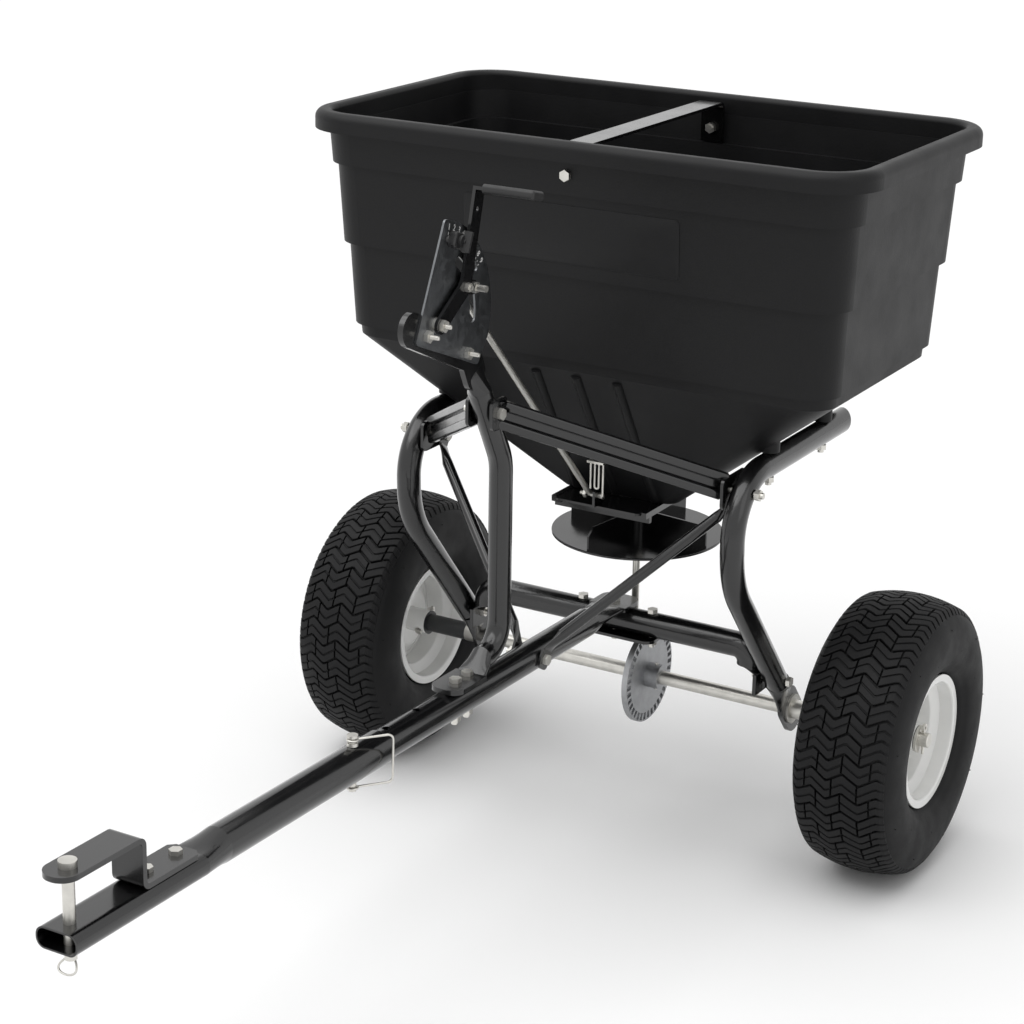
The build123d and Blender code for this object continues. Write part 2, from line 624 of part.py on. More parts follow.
with BuildPart() as tongue_front:
    # the round section runs over into a flattened one toward the hitch
    for shrink, tip, mode in ((0, -1182, Mode.ADD), (TUBE_WALL, -1183, Mode.SUBTRACT)):
        with BuildSketch(crimp_plane(-627 + shrink)) as back_end:
            Circle(FRONT_R - shrink)
        with BuildSketch(crimp_plane(-930)) as crimp_start:
            Circle(FRONT_R - shrink)
        with BuildSketch(crimp_plane(-975)) as crimp_end:
            RectangleRounded(24 - 2 * shrink, 52 - 2 * shrink, 10.8 - shrink)
        with BuildSketch(crimp_plane(tip)) as front_end:
            RectangleRounded(24 - 2 * shrink, 52 - 2 * shrink, 10.8 - shrink)
        ends = [back_end.sketch.face(), crimp_start.sketch.face()]
        ends += [crimp_end.sketch.face(), front_end.sketch.face()]
        loft(ends, ruled=True, mode=mode)
    bore(on_tongue(0, LOCK_A, -30), TONGUE_UP, 4.6, 60)
    for hole_a in (-998, -1045):
        bore(on_tongue(0, hole_a, -20), TONGUE_UP, BOLT_R + 0.1, 40)
    bore(on_tongue(0, HITCH_PIN_A, -20), TONGUE_UP, HITCH_PIN_R + 0.1, 40)
tongue_front.part.label = "tongue_front"
export_step(tongue_front.part, "parts/tongue_front.step")

# Hitch: bent strip over the tongue end, drop pin and ring clip
JAW_TOP = 66.0
with BuildPart() as hitch_bracket:
    with BuildSketch(TONGUE_SIDE.offset(-20)):
        with BuildLine() as strip_line:
            FilletPolyline(
                (-980, 15.1), (-1071, 15.1), (-1071, JAW_TOP + 3), (NOSE_A, JAW_TOP + 3), radius=8,
            )
        trace(line_width=6)
    extrude(amount=40)
    upright_edges = hitch_bracket.edges().filter_by(Axis(TONGUE.origin, TONGUE_UP))
    fillet(upright_edges.sort_by(Axis.Y)[:2], radius=19)
    chamfer(upright_edges.sort_by(Axis.Y)[-2:], length=7)
    bore(on_tongue(0, HITCH_PIN_A, 40), TONGUE_UP, HITCH_PIN_R + 0.1, 60)
    for hole_a in (-998, -1045):
        bore(on_tongue(0, hole_a, 0), TONGUE_UP, BOLT_R + 0.1, 40)
hitch_bracket.part.label = "hitch_bracket"
export_step(hitch_bracket.part, "parts/hitch_bracket.step")

with BuildPart() as hitch_bolts:
    for hole_a in (-998, -1045):
        hex_bolt(on_tongue(0, hole_a, 18.1), -TONGUE_UP, 30.1)
hitch_bolts.part.label = "hitch_bolts"
export_step(hitch_bolts.part, "parts/hitch_bolts.step")

with BuildPart() as hitch_pin:
    pin_solid(on_tongue(0, HITCH_PIN_A, -27), TONGUE_UP, HITCH_PIN_R, 99)
    pin_solid(on_tongue(0, HITCH_PIN_A, JAW_TOP + 6), TONGUE_UP, 9.5, 7)
    bore(on_tongue(0, HITCH_PIN_A - 20, -19), TONGUE.y_dir, 1.6, 40)
hitch_pin.part.label = "hitch_pin"
export_step(hitch_pin.part, "parts/hitch_pin.step")

with BuildPart() as hitch_clip:
    with BuildLine(TONGUE.offset(-19)) as clip_line:
        FilletPolyline(
            (0, HITCH_PIN_A - 12), (0, HITCH_PIN_A + 26), (13, HITCH_PIN_A + 26),
            (13, HITCH_PIN_A - 10), radius=6,
        )
    with BuildSketch(Plane(origin=clip_line.line @ 0, z_dir=clip_line.line % 0)):
        Circle(1.5)
    sweep(path=clip_line.line)
hitch_clip.part.label = "hitch_clip"
export_step(hitch_clip.part, "parts/hitch_clip.step")

# Lock pin of the sliding tongue with its swinging wire bail
LOCK_LOW = -34.0
BAIL_REACH = 48.6
BAIL_TURN = 53.0
with BuildPart() as lock_pin:
    pin_solid(on_tongue(0, LOCK_A, LOCK_LOW), TONGUE_UP, 4.5, FRONT_R - LOCK_LOW + 2)
    pin_solid(on_tongue(0, LOCK_A, FRONT_R + 0.2), TONGUE_UP, 6.5, 4)
    pin_solid(on_tongue(0, LOCK_A, FRONT_R + 4), TONGUE_UP, 4.5, 7)
    pin_solid(on_tongue(0, LOCK_A, FRONT_R + 10.5), TONGUE_UP, 6.5, 3)
    bore(on_tongue(0, LOCK_A, LOCK_LOW - 1), TONGUE_UP, 1.5, 3)
lock_pin.part.label = "lock_pin"
export_step(lock_pin.part, "parts/lock_pin.step")

BAIL_PLANE = Plane(
    origin=on_tongue(0, LOCK_A, 0),
    x_dir=TONGUE.x_dir * math.cos(math.radians(BAIL_TURN))
    + TONGUE.y_dir * math.sin(math.radians(BAIL_TURN)),
    z_dir=TONGUE.x_dir * math.sin(math.radians(BAIL_TURN))
    - TONGUE.y_dir * math.cos(math.radians(BAIL_TURN)),
)
BAIL_TOP = FRONT_R + 7.5
BAIL_LOW = LOCK_LOW + 4
with BuildPart() as lock_bail:
    for ring_h in (BAIL_TOP, BAIL_LOW):
        with Locations(Plane(origin=on_tongue(0, LOCK_A, ring_h), z_dir=TONGUE_UP)):
            Torus(5.95, 1.4)
    with BuildLine(BAIL_PLANE) as bail_line:
        FilletPolyline(
            (6.5, BAIL_TOP), (BAIL_REACH, BAIL_TOP), (BAIL_REACH, BAIL_LOW), (6.5, BAIL_LOW), radius=7,
        )
    with BuildSketch(Plane(origin=bail_line.line @ 0, z_dir=bail_line.line % 0)):
        Circle(1.4)
    sweep(path=bail_line.line)
lock_bail.part.label = "lock_bail"
export_step(lock_bail.part, "parts/lock_bail.step")

# Upright tube from the tongue to the control plate
FOOT_H = REAR_R + 0.1
with BuildPart() as upright_tube:
    with BuildLine(SIDE) as upright_line:
        FilletPolyline((-401, 343), (-360, 343), (-360, 585), (-412, 684), radius=[38, 60])
    with BuildSketch(Plane(origin=upright_line.line @ 0, z_dir=upright_line.line % 0)):
        Circle(UPRIGHT_R)
        Circle(UPRIGHT_R - LEG_WALL, mode=Mode.SUBTRACT)
    sweep(path=upright_line.line)
    round_to_flat(
        Plane(origin=at(0, -401, 343), x_dir=(0, 0, 1), z_dir=(0, -1, 0)), UPRIGHT_R,
        crimp_plane(-426, FOOT_H + 3), 5.4, 40,
    )
    with BuildSketch(TONGUE.offset(FOOT_H)):
        with Locations((0, -456)):
            RectangleRounded(44, 68, 16)
        with Locations((0, -433)):
            Rectangle(44, 18)
    extrude(amount=6)
    round_to_flat(
        Plane(origin=at(0, -412, 684), x_dir=(1, 0, 0), z_dir=(0, -52, 99)), UPRIGHT_R,
        Plane(origin=at(0, -426, 710.7), x_dir=(1, 0, 0), z_dir=(0, -52, 99)), 6.4, 38,
    )
    with BuildSketch(SIDE.offset(-3.5)):
        with BuildLine(mode=Mode.PRIVATE) as slab_line:
            FilletPolyline((-424.5, 707), (-437, 733), (-560, 789), radius=24)
        SlotArc(slab_line.wire(), 40)
    extrude(amount=7)
    for hole_a in (-461, -434):
        bore(on_tongue(0, hole_a, 0), TONGUE_UP, BOLT_R + 0.1, 60)
    for hole in ((-535, 777), (-449, 738), PIVOT):
        bore(at(-20, *hole), ALONG_X, BOLT_R + 0.1, 40)
    bore(at(-30, -395.5, 654), ALONG_X, BOLT_R + 0.1, 60)
upright_tube.part.label = "upright_tube"
export_step(upright_tube.part, "parts/upright_tube.step")

with BuildPart() as foot_bolts:
    for hole_a in (-461, -434):
        hex_bolt(on_tongue(0, hole_a, FOOT_H + 6), -TONGUE_UP, FOOT_H + 6 + REAR_R)
foot_bolts.part.label = "foot_bolts"
export_step(foot_bolts.part, "parts/foot_bolts.step")

# Struts from the upright to the legs: pressed channel with flat ends
STRUT_TOP = at(16.4, -397, 654)
STRUT_LOW = at(215, -186, 540)
STRUT_DIR = (STRUT_LOW - STRUT_TOP).normalized()
STRUT_FACE = STRUT_DIR.cross(Vector(0, 0, 1)).normalized()
BRACE_BOLT = (-148.0, 524.0)
with BuildPart() as right_strut:
    with BuildSketch(Plane(origin=STRUT_TOP + STRUT_DIR * 6, x_dir=STRUT_FACE, z_dir=STRUT_DIR)):
        with BuildLine() as channel_line:
            FilletPolyline(
                (-7, -16), (0, -16), (0, -8), (-5, -5), (-5, 5), (0, 8), (0, 16), (-7, 16),
                radius=1.6,
            )
        trace(line_width=2.6)
    extrude(amount=(STRUT_LOW - STRUT_TOP).length - 8)
    with BuildSketch(SIDE.offset(UPRIGHT_R + 0.1)):
        with Locations((-395.5, 654)):
            RectangleRounded(34, 38, 8)
    extrude(amount=4)
    with BuildSketch(SIDE.offset(214.2)):
        with Locations((-166, 533)):
            RectangleRounded(66, 40, 8)
    extrude(amount=4)
    bore(at(0, -395.5, 654), ALONG_X, BOLT_R + 0.1, 60)
    bore(at(200, *STRUT_BOLT), ALONG_X, BOLT_R + 0.1, 30)
    bore(at(200, *BRACE_BOLT), ALONG_X, BOLT_R + 0.1, 30)
    # the channel is trimmed where the tube and the tab bolts need room
    bore(at(UPRIGHT_R + 4.1, -395.5, 654), ALONG_X, 9.5, 12)
    bore(at(190, *STRUT_BOLT), ALONG_X, 9.5, 24.2)
    with BuildSketch(SIDE.offset(UPRIGHT_R + 0.1)):
        with Locations((-395.5, 654)):
            Rectangle(200, 200)
    extrude(amount=-40, mode=Mode.SUBTRACT)
    with BuildSketch(SIDE.offset(218.2)):
        with Locations((-166, 533)):
            Rectangle(200, 200)
    extrude(amount=40, mode=Mode.SUBTRACT)
right_strut.part.label = "right_strut"
export_step(right_strut.part, "parts/right_strut.step")

with BuildPart() as left_strut:
    mirror(right_strut.part, about=Plane.YZ)
left_strut.part.label = "left_strut"
export_step(left_strut.part, "parts/left_strut.step")

with BuildPart() as strut_bolts:
    hex_bolt(at(UPRIGHT_R + 4.1, -395.5, 654), (-1, 0, 0), 2 * UPRIGHT_R + 8.2)
    for side in (-1, 1):
        hex_bolt(at(side * 214.2, *STRUT_BOLT), (side, 0, 0), 37.3)
strut_bolts.part.label = "strut_bolts"
export_step(strut_bolts.part, "parts/strut_bolts.step")

# Braces from the struts down to the tongue, round tube with flat ends
BRACE_FOOT = on_tongue(REAR_R + 0.1, -283, 0)
BRACE_HEAD = at(211, *BRACE_BOLT)
BRACE_SLANT = Vector(0, BRACE_FOOT.Y - BRACE_HEAD.Y, BRACE_FOOT.Z - BRACE_HEAD.Z).normalized()
BRACE_A = BRACE_HEAD + BRACE_SLANT * 36 + Vector(-14, 0, 0)
BRACE_B = BRACE_FOOT - BRACE_SLANT * 36 + Vector(17, 0, 0)
BRACE_DIR = (BRACE_B - BRACE_A).normalized()
with BuildPart() as right_brace:
    with BuildSketch(Plane(origin=BRACE_A, z_dir=BRACE_DIR)):
        Circle(7)
        Circle(5.5, mode=Mode.SUBTRACT)
    extrude(amount=(BRACE_B - BRACE_A).length)
    for point, bolt, reach in ((BRACE_A, BRACE_HEAD, 1), (BRACE_B, BRACE_FOOT, -1)):
        tab_mid = Vector(bolt.X + 1.6, bolt.Y, bolt.Z)
        round_to_flat(
            Plane(origin=point, x_dir=BRACE_DIR.cross(Vector(0, 0, 1)), z_dir=BRACE_DIR), 7,
            Plane(origin=tab_mid + BRACE_SLANT * (reach * 12), x_dir=ALONG_X, z_dir=BRACE_SLANT), 3.2, 22,
        )
        with BuildSketch(Plane(origin=(bolt.X, bolt.Y, bolt.Z), x_dir=BRACE_SLANT, z_dir=ALONG_X)):
            RectangleRounded(26, 22, 8)
            with Locations((reach * 8, 0)):
                Rectangle(9, 22)
        extrude(amount=3.2)
        bore((bolt.X - 20, bolt.Y, bolt.Z), ALONG_X, BOLT_R + 0.1, 40)
right_brace.part.label = "right_brace"
export_step(right_brace.part, "parts/right_brace.step")

with BuildPart() as left_brace:
    mirror(right_brace.part, about=Plane.YZ)
left_brace.part.label = "left_brace"
export_step(left_brace.part, "parts/left_brace.step")

with BuildPart() as brace_bolts:
    hex_bolt(on_tongue(REAR_R + 3.3, -283, 0), (-1, 0, 0), 2 * REAR_R + 6.6)
    for side in (-1, 1):
        hex_bolt(at(side * 211, *BRACE_BOLT), (side, 0, 0), 7.2, spare=1)
brace_bolts.part.label = "brace_bolts"
export_step(brace_bolts.part, "parts/brace_bolts.step")

# Control plate: sector with two curved slots round the lever pivot
with BuildPart() as control_plate:
    with BuildSketch(SIDE.offset(PLATE_X)):
        with BuildLine():
            Line((-558, 772), (-426, 719))
            Line((-426, 719), polar(PLATE_R, -18))
            ThreePointArc(polar(PLATE_R, -18), polar(PLATE_R, 32), polar(PLATE_R, 81))
            Line(polar(PLATE_R, 81), (-558, 772))
        sector = make_face()
        fillet(sector.vertices(), radius=5)
        for orbit, width, first, last in ((PIN_ORBIT, 12, -6, 54), (STOP_ORBIT, 7, 30, 76)):
            with BuildLine(mode=Mode.PRIVATE) as slot_line:
                ThreePointArc(polar(orbit, first), polar(orbit, (first + last) / 2), polar(orbit, last))
            SlotArc(slot_line.line.edge(), width, mode=Mode.SUBTRACT)
        for hole in ((-535, 777), (-449, 738), PIVOT):
            with Locations(hole):
                Circle(BOLT_R + 0.1, mode=Mode.SUBTRACT)
    extrude(amount=PLATE_T)
control_plate.part.label = "control_plate"
export_step(control_plate.part, "parts/control_plate.step")

with BuildPart() as plate_bolts:
    for hole in ((-535, 777), (-449, 738)):
        hex_bolt(at(PLATE_X + PLATE_T, *hole), (-1, 0, 0), PLATE_T + 7, spare=2)
plate_bolts.part.label = "plate_bolts"
export_step(plate_bolts.part, "parts/plate_bolts.step")

# Pivot bolt with a spacer behind the lever
with BuildPart() as pivot_bolt:
    hex_bolt(at(LEVER_X + LEVER_T + 0.3, *PIVOT), (-1, 0, 0), LEVER_X + LEVER_T + 0.3 + 3.5, spare=2)
    washer(at(PLATE_X + PLATE_T, *PIVOT), ALONG_X, 9, BOLT_R - 1, LEVER_X - PLATE_X - PLATE_T - 0.3)
pivot_bolt.part.label = "pivot_bolt"
export_step(pivot_bolt.part, "parts/pivot_bolt.step")

# Flow lever: cranked flat bar with its top turned outward into a grip
ELBOW = (-464.0, 820.0)
LEVER_TOP = (-436.0, 930.0)
GRIP_END = 90.0
with BuildPart() as flow_lever:
    with BuildSketch(SIDE.offset(LEVER_X)):
        with BuildLine() as bar_line:
            FilletPolyline(PIVOT, ELBOW, LEVER_TOP, radius=20)
        trace(line_width=20)
        with Locations(PIVOT):
            Circle(10)
    extrude(amount=LEVER_T)
    bar_up = Vector(0, LEVER_TOP[0] - ELBOW[0], LEVER_TOP[1] - ELBOW[1]).normalized()
    tang = Plane(origin=at(LEVER_X, *LEVER_TOP), x_dir=bar_up, z_dir=ALONG_X)
    with BuildSketch(tang):
        with Locations((-2, 0)):
            Rectangle(LEVER_T, 20)
    extrude(amount=GRIP_END - LEVER_X - 6)
    bore(at(0, *PIVOT), ALONG_X, BOLT_R + RUNNING, 30)
    bore(at(0, *ELBOW), ALONG_X, 3.1, 30)
    bore(at(0, -442, 906), ALONG_X, 3, 30)
flow_lever.part.label = "flow_lever"
export_step(flow_lever.part, "parts/flow_lever.step")

with BuildPart() as lever_grip:
    with BuildSketch(Plane(origin=at(24, *LEVER_TOP), x_dir=bar_up, z_dir=ALONG_X)):
        with Locations((-2, 0)):
            RectangleRounded(11, 27, 4.5)
    extrude(amount=GRIP_END - 24)
    fillet(lever_grip.faces().sort_by(Axis.X)[-1].edges(), radius=3)
    with BuildSketch(Plane(origin=at(20, *LEVER_TOP), x_dir=bar_up, z_dir=ALONG_X)):
        with Locations((-2, 0)):
            Rectangle(LEVER_T + 0.1, 20.1)
    extrude(amount=GRIP_END - 26 + 0.1, mode=Mode.SUBTRACT)
lever_grip.part.label = "lever_grip"
export_step(lever_grip.part, "parts/lever_grip.step")

# Ear between lever and rod, with its bolt and the long rod pin through the plate slot
ROD_PIN = polar(PIN_ORBIT, PIN_ANGLE)
with BuildPart() as rod_ear:
    with BuildSketch(SIDE.offset(LEVER_X - 2.6)):
        with BuildLine(mode=Mode.PRIVATE) as ear_line:
            Line(ELBOW, ROD_PIN)
        SlotArc(ear_line.line.edge(), 17)
        with Locations(ELBOW):
            Circle(3.1, mode=Mode.SUBTRACT)
        with Locations(ROD_PIN):
            Circle(BOLT_R, mode=Mode.SUBTRACT)
    extrude(amount=2.6)
rod_ear.part.label = "rod_ear"
export_step(rod_ear.part, "parts/rod_ear.step")

with BuildPart() as ear_bolts:
    pin_solid(at(LEVER_X - 2.6, *ELBOW), ALONG_X, 3, LEVER_T + 10)
    with BuildSketch(SIDE.offset(LEVER_X + LEVER_T)):
        with Locations(ELBOW):
            RegularPolygon(5.6, 6)
    extrude(amount=5)
    pin_solid(at(ROD_X - 8, *ROD_PIN), ALONG_X, BOLT_R - 0.05, 50)
    with BuildSketch(SIDE.offset(LEVER_X)):
        with Locations(ROD_PIN):
            RegularPolygon(6.6, 6)
    extrude(amount=6)
    pin_solid(at(ROD_X - 9, *ROD_PIN), ALONG_X, 6.6, 2.5)
ear_bolts.part.label = "ear_bolts"
export_step(ear_bolts.part, "parts/ear_bolts.step")

# Adjustable stop with its wing screw in the outer slot
STOP_AT = polar(STOP_ORBIT, STOP_ANGLE)
STOP_X = PLATE_X + PLATE_T + 0.3
STOP_PLANE = Plane(
    origin=at(STOP_X, *STOP_AT),
    x_dir=(0, math.cos(math.radians(STOP_ANGLE)), math.sin(math.radians(STOP_ANGLE))),
    z_dir=ALONG_X,
)
with BuildPart() as stop_block:
    with BuildSketch(STOP_PLANE):
        with Locations((0, -1)):
            RectangleRounded(18, 28, 4)
    extrude(amount=9)
    fillet(stop_block.faces().sort_by(Axis.X)[-1].edges(), radius=2)
    bore(at(0, *STOP_AT), ALONG_X, 3.1, 30)
stop_block.part.label = "stop_block"
export_step(stop_block.part, "parts/stop_block.step")

with BuildPart() as stop_screw:
    pin_solid(at(PLATE_X - 6, *STOP_AT), ALONG_X, 3, STOP_X - PLATE_X + 22)
    pin_solid(at(STOP_X + 9, *STOP_AT), ALONG_X, 7, 4)
    with BuildSketch(STOP_PLANE.offset(12)):
        Rectangle(24, 3.4)
    extrude(amount=10)
    pin_solid(at(PLATE_X - 0.3, *STOP_AT), (-1, 0, 0), 6, 3)
stop_screw.part.label = "stop_screw"
export_step(stop_screw.part, "parts/stop_screw.step")

# Control rod with an eye at the top and its foot turned into the gate lug
with BuildPart() as control_rod:
    eye = at(ROD_X, *ROD_PIN)
    run = (at(ROD_X, *LUG) - eye).normalized()
    with BuildLine() as rod_line:
        FilletPolyline(eye + run * 8, at(ROD_X, *LUG), at(6, *LUG), radius=9)
    with BuildSketch(Plane(origin=rod_line.line @ 0, z_dir=rod_line.line % 0)):
        Circle(ROD_R)
    sweep(path=rod_line.line)
    pin_solid(eye - Vector(4.5, 0, 0), ALONG_X, 11, 9)
    bore(eye - Vector(10, 0, 0), ALONG_X, BOLT_R + 1.2, 20)
control_rod.part.label = "control_rod"
export_step(control_rod.part, "parts/control_rod.step")

# Sliding gate under the outlet and the guide it runs in
GATE_Z = OUTLET_Z - 3.6
with BuildPart() as gate_plate:
    with BuildSketch(TOP.offset(GATE_Z)):
        with Locations((0, (PORT_FRONT - 118) / 2 - 0.5)):
            RectangleRounded(124, 118 + PORT_FRONT - 1, 5)
    extrude(amount=3)
    with BuildSketch(SIDE.offset(-4)):
        with BuildLine():
            Polyline((-122, 455), (-122, 476), (-113, 476), (-103.5, 466), (-100, 455), close=True)
        make_face()
    extrude(amount=3.5)
    bore(at(-20, *LUG), ALONG_X, ROD_R + RUNNING, 40)
gate_plate.part.label = "gate_plate"
export_step(gate_plate.part, "parts/gate_plate.step")

with BuildPart() as gate_guide:
    for side in (-1, 1):
        with BuildSketch(Plane(origin=at(0, -112, 0), x_dir=(1, 0, 0), z_dir=(0, 1, 0))):
            with BuildLine():
                Polyline(
                    (side * 62.5, -OUTLET_Z), (side * 70, -OUTLET_Z), (side * 70, -449),
                    (side * 56, -449), (side * 56, -452.9), (side * 62.5, -452.9), close=True,
                )
            make_face()
        extrude(amount=92)
    with BuildSketch(TOP.offset(441)):
        with Locations((0, -100)):
            Rectangle(140, 6)
    extrude(amount=8.5)
gate_guide.part.label = "gate_guide"
export_step(gate_guide.part, "parts/gate_guide.step")

# Small bracket with stowed wire clips on the front slope
with BuildPart() as wire_clips:
    with BuildSketch(Plane(origin=at(4, -120.4, 518), x_dir=(1, 0, 0), z_dir=(0, 0, 1))):
        Rectangle(24, 23.2)
    extrude(amount=3)
    for wire_x, low in ((-5, 482), (1, 486), (7, 486), (13, 474)):
        pin_solid(at(wire_x, -126, 519), DOWN, 1.3, 519 - low)
    with BuildLine(Plane(origin=at(0, -126, 0), x_dir=(1, 0, 0), z_dir=(0, -1, 0))) as loop_line:
        ThreePointArc((1, 486), (4, 483), (7, 486))
    with BuildSketch(Plane(origin=loop_line.line @ 0, z_dir=loop_line.line % 0)):
        Circle(1.3)
    sweep(path=loop_line.line)
wire_clips.part.label = "wire_clips"
export_step(wire_clips.part, "parts/wire_clips.step")
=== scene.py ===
"""Visual model of a tow-behind broadcast spreader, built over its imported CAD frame.

Lengths are metres unless a comment says millimetres.
+X runs along the axle, -Y points to the towing vehicle, +Z is up.
"""
import json
import math

import bpy
import bmesh
from bpy.props import FloatProperty, FloatVectorProperty, IntProperty, PointerProperty
from mathutils import Matrix, Vector


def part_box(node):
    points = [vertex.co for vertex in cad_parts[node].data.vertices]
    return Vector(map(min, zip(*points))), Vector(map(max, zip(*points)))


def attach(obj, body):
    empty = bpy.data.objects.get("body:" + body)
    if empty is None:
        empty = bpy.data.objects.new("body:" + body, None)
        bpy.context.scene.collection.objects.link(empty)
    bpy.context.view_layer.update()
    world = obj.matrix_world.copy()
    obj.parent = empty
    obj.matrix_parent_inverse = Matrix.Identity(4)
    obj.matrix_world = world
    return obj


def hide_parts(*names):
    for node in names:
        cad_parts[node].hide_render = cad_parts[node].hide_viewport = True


bl_info = {
    "name": "Tow-behind spreader",
    "version": (1, 0, 0),
    "blender": (4, 5, 0),
    "location": "View3D > Sidebar > Spreader",
    "description": "Builds the visual pieces and finishes of a tow-behind broadcast spreader",
    "category": "Object",
}

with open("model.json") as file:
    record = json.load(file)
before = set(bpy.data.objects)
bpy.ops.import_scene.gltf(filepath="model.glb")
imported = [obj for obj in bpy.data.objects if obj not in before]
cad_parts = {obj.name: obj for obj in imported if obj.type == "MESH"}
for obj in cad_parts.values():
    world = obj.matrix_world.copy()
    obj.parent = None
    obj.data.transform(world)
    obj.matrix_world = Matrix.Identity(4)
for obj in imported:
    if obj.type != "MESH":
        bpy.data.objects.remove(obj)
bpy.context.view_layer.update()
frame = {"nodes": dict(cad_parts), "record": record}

MM = 0.001
AXLE_Y = 489.34 * MM
AXLE_Z = 184.0 * MM
WHEEL_X = 378.0 * MM
# X of the printed face of the control plate, and Y of the hopper's lip at the front
PLATE_FACE = 6.0 * MM
HOPPER_FRONT = AXLE_Y - 235.1 * MM


def from_axle(y, z):
    """Y and Z from millimetres behind the axle and millimetres over the ground."""
    return (AXLE_Y + y * MM, z * MM)


def linear(code):
    """Turns an sRGB hex colour into linear red, green, blue, alpha."""
    parts = [int(code[i:i + 2], 16) / 255 for i in (1, 3, 5)]
    parts = [c / 12.92 if c <= 0.04045 else ((c + 0.055) / 1.055) ** 2.4 for c in parts]
    return (*parts, 1.0)


def colour(code, label, words):
    """Colour property with an sRGB hex default."""
    return FloatVectorProperty(
        name=label, description=words, subtype="COLOR", size=4, min=0, max=1, default=linear(code)
    )


def length(value, label, words):
    """Length property with a default in metres."""
    return FloatProperty(
        name=label, description=words, default=value, subtype="DISTANCE", unit="LENGTH"
    )


class SpreaderSizes(bpy.types.PropertyGroup):
    """Sizes of the visual pieces"""
    lug_depth: length(6.5 * MM, "Tread depth", "Height of the tread blocks over the tyre casing")
    lug_count: IntProperty(
        name="Tread rows", description="Rows of tread blocks round a tyre", default=44, min=12
    )
    figure_height: length(10 * MM, "Figure height", "Height of the numbers on the flow scale")
    panel_rise: length(1.0 * MM, "Panel rise", "How far the panel stands off the hopper wall")
    ring_wire: length(2.4 * MM, "Ring wire", "Thickness of the hitch ring's wire")
    ring_drop: length(19 * MM, "Ring drop", "Length of the hitch ring from the pin to its end")
    thread_pitch: length(1.25 * MM, "Thread pitch", "Pitch of the bolt threads")


class SpreaderColours(bpy.types.PropertyGroup):
    """Base colours of the finishes"""
    hopper: colour("#131314", "Hopper", "Moulded polyethylene of the hopper")
    paint: colour("#0B0B0C", "Frame paint", "Powder coat on the tubes, strap, lever and gate")
    zinc: colour("#D6D4CE", "Zinc plate", "Plated bolts, pins, axle and rod")
    galvanised: colour("#707274", "Galvanised sheet", "Control plate")
    cast: colour("#A6A7A9", "Cast metal", "Gear and pinion")
    rubber: colour("#0E0E0F", "Tyre rubber", "Tyre tread and sidewall")
    rim: colour("#ECECEA", "Rim enamel", "Paint of the wheel rims")
    gloss: colour("#0A0A0B", "Gloss plastic", "Spinner disc")
    bush: colour("#2F3031", "Bush plastic", "Bushes and wheel spacers")
    grip: colour("#0F0F10", "Grip plastic", "Lever grip, stop block and its screw")
    mark: colour("#DADAD8", "Scale ink", "Printed numbers and ticks on the control plate")


def sizes():
    """Sizes set in the panel."""
    return bpy.context.scene.spreader_sizes


def colours():
    """Colours set in the panel."""
    return bpy.context.scene.spreader_colours


# Materials

# Colour sockets of the Mix node, which uses the same names for every data type
MIX_LOW, MIX_HIGH, MIX_RESULT = 6, 7, 2
# Band in which most values of a noise lie
NOISE_BAND = (0.3, 0.7)
COAT_ROUGHNESS = 0.08
# Zinc plate: stretch of its streaks, spacing of its clouds in mm, and how dark they get
STREAK_SCALE = (1.0, 0.06, 1.0)
CLOUD_SIZE = 18.0
CLOUD_SHADE = 0.82
# Galvanised sheet: crystal and grain size in mm, darkest crystal, ends of roughness, bump in mm
CRYSTAL_SIZE = 7.0
CRYSTAL_GRAIN = 1.6
CRYSTAL_SHADE = 0.88
CRYSTAL_ROUGH = (0.3, 0.38)
CRYSTAL_BUMP = 0.04


def add(tree, kind, links=(), sockets=None, **settings):
    """Adds a node with its settings and socket values.

    links holds (socket, source node, source socket).
    """
    made = tree.nodes.new(kind)
    for key, value in settings.items():
        setattr(made, key, value)
    for key, value in (sockets or {}).items():
        made.inputs[key].default_value = value
    for target, source, output in links:
        tree.links.new(source.outputs[output], made.inputs[target])
    return made


def blank(name):
    """Returns a new material with one Principled surface, its tree and that shader."""
    material = bpy.data.materials.new(name)
    material.use_nodes = True
    tree = material.node_tree
    tree.nodes.clear()
    shader = add(tree, "ShaderNodeBsdfPrincipled")
    add(tree, "ShaderNodeOutputMaterial", [("Surface", shader, "BSDF")])
    return material, tree, shader


def per_metre(millimetres):
    """Noise scale whose features are about this many millimetres apart in object space."""
    return 1000.0 / millimetres


def noise(tree, source, output, size, detail, rough=0.5):
    """Noise with features about size millimetres apart."""
    return add(tree, "ShaderNodeTexNoise", [("Vector", source, output)],
               {"Scale": per_metre(size), "Detail": detail, "Roughness": rough})


def stretch(tree, source, output, ends, band=NOISE_BAND):
    """Maps the band of a value to the two ends."""
    return add(tree, "ShaderNodeMapRange", [("Value", source, output)],
               {"From Min": band[0], "From Max": band[1], "To Min": ends[0], "To Max": ends[1]})


def dim(base, factor):
    """The colour times a factor, no brighter than full."""
    return [min(c * factor, 1.0) for c in base[:3]] + [1.0]


def tint(tree, shader, source, output, low, high):
    """Drives the base colour from low to high."""
    mix = add(tree, "ShaderNodeMix", [("Factor", source, output)], data_type="RGBA")
    mix.inputs[MIX_LOW].default_value = low
    mix.inputs[MIX_HIGH].default_value = high
    tree.links.new(mix.outputs[MIX_RESULT], shader.inputs["Base Color"])


def roughen(tree, shader, source, output, ends, band=NOISE_BAND):
    """Drives the roughness between the two ends."""
    matt = stretch(tree, source, output, ends, band)
    tree.links.new(matt.outputs["Result"], shader.inputs["Roughness"])


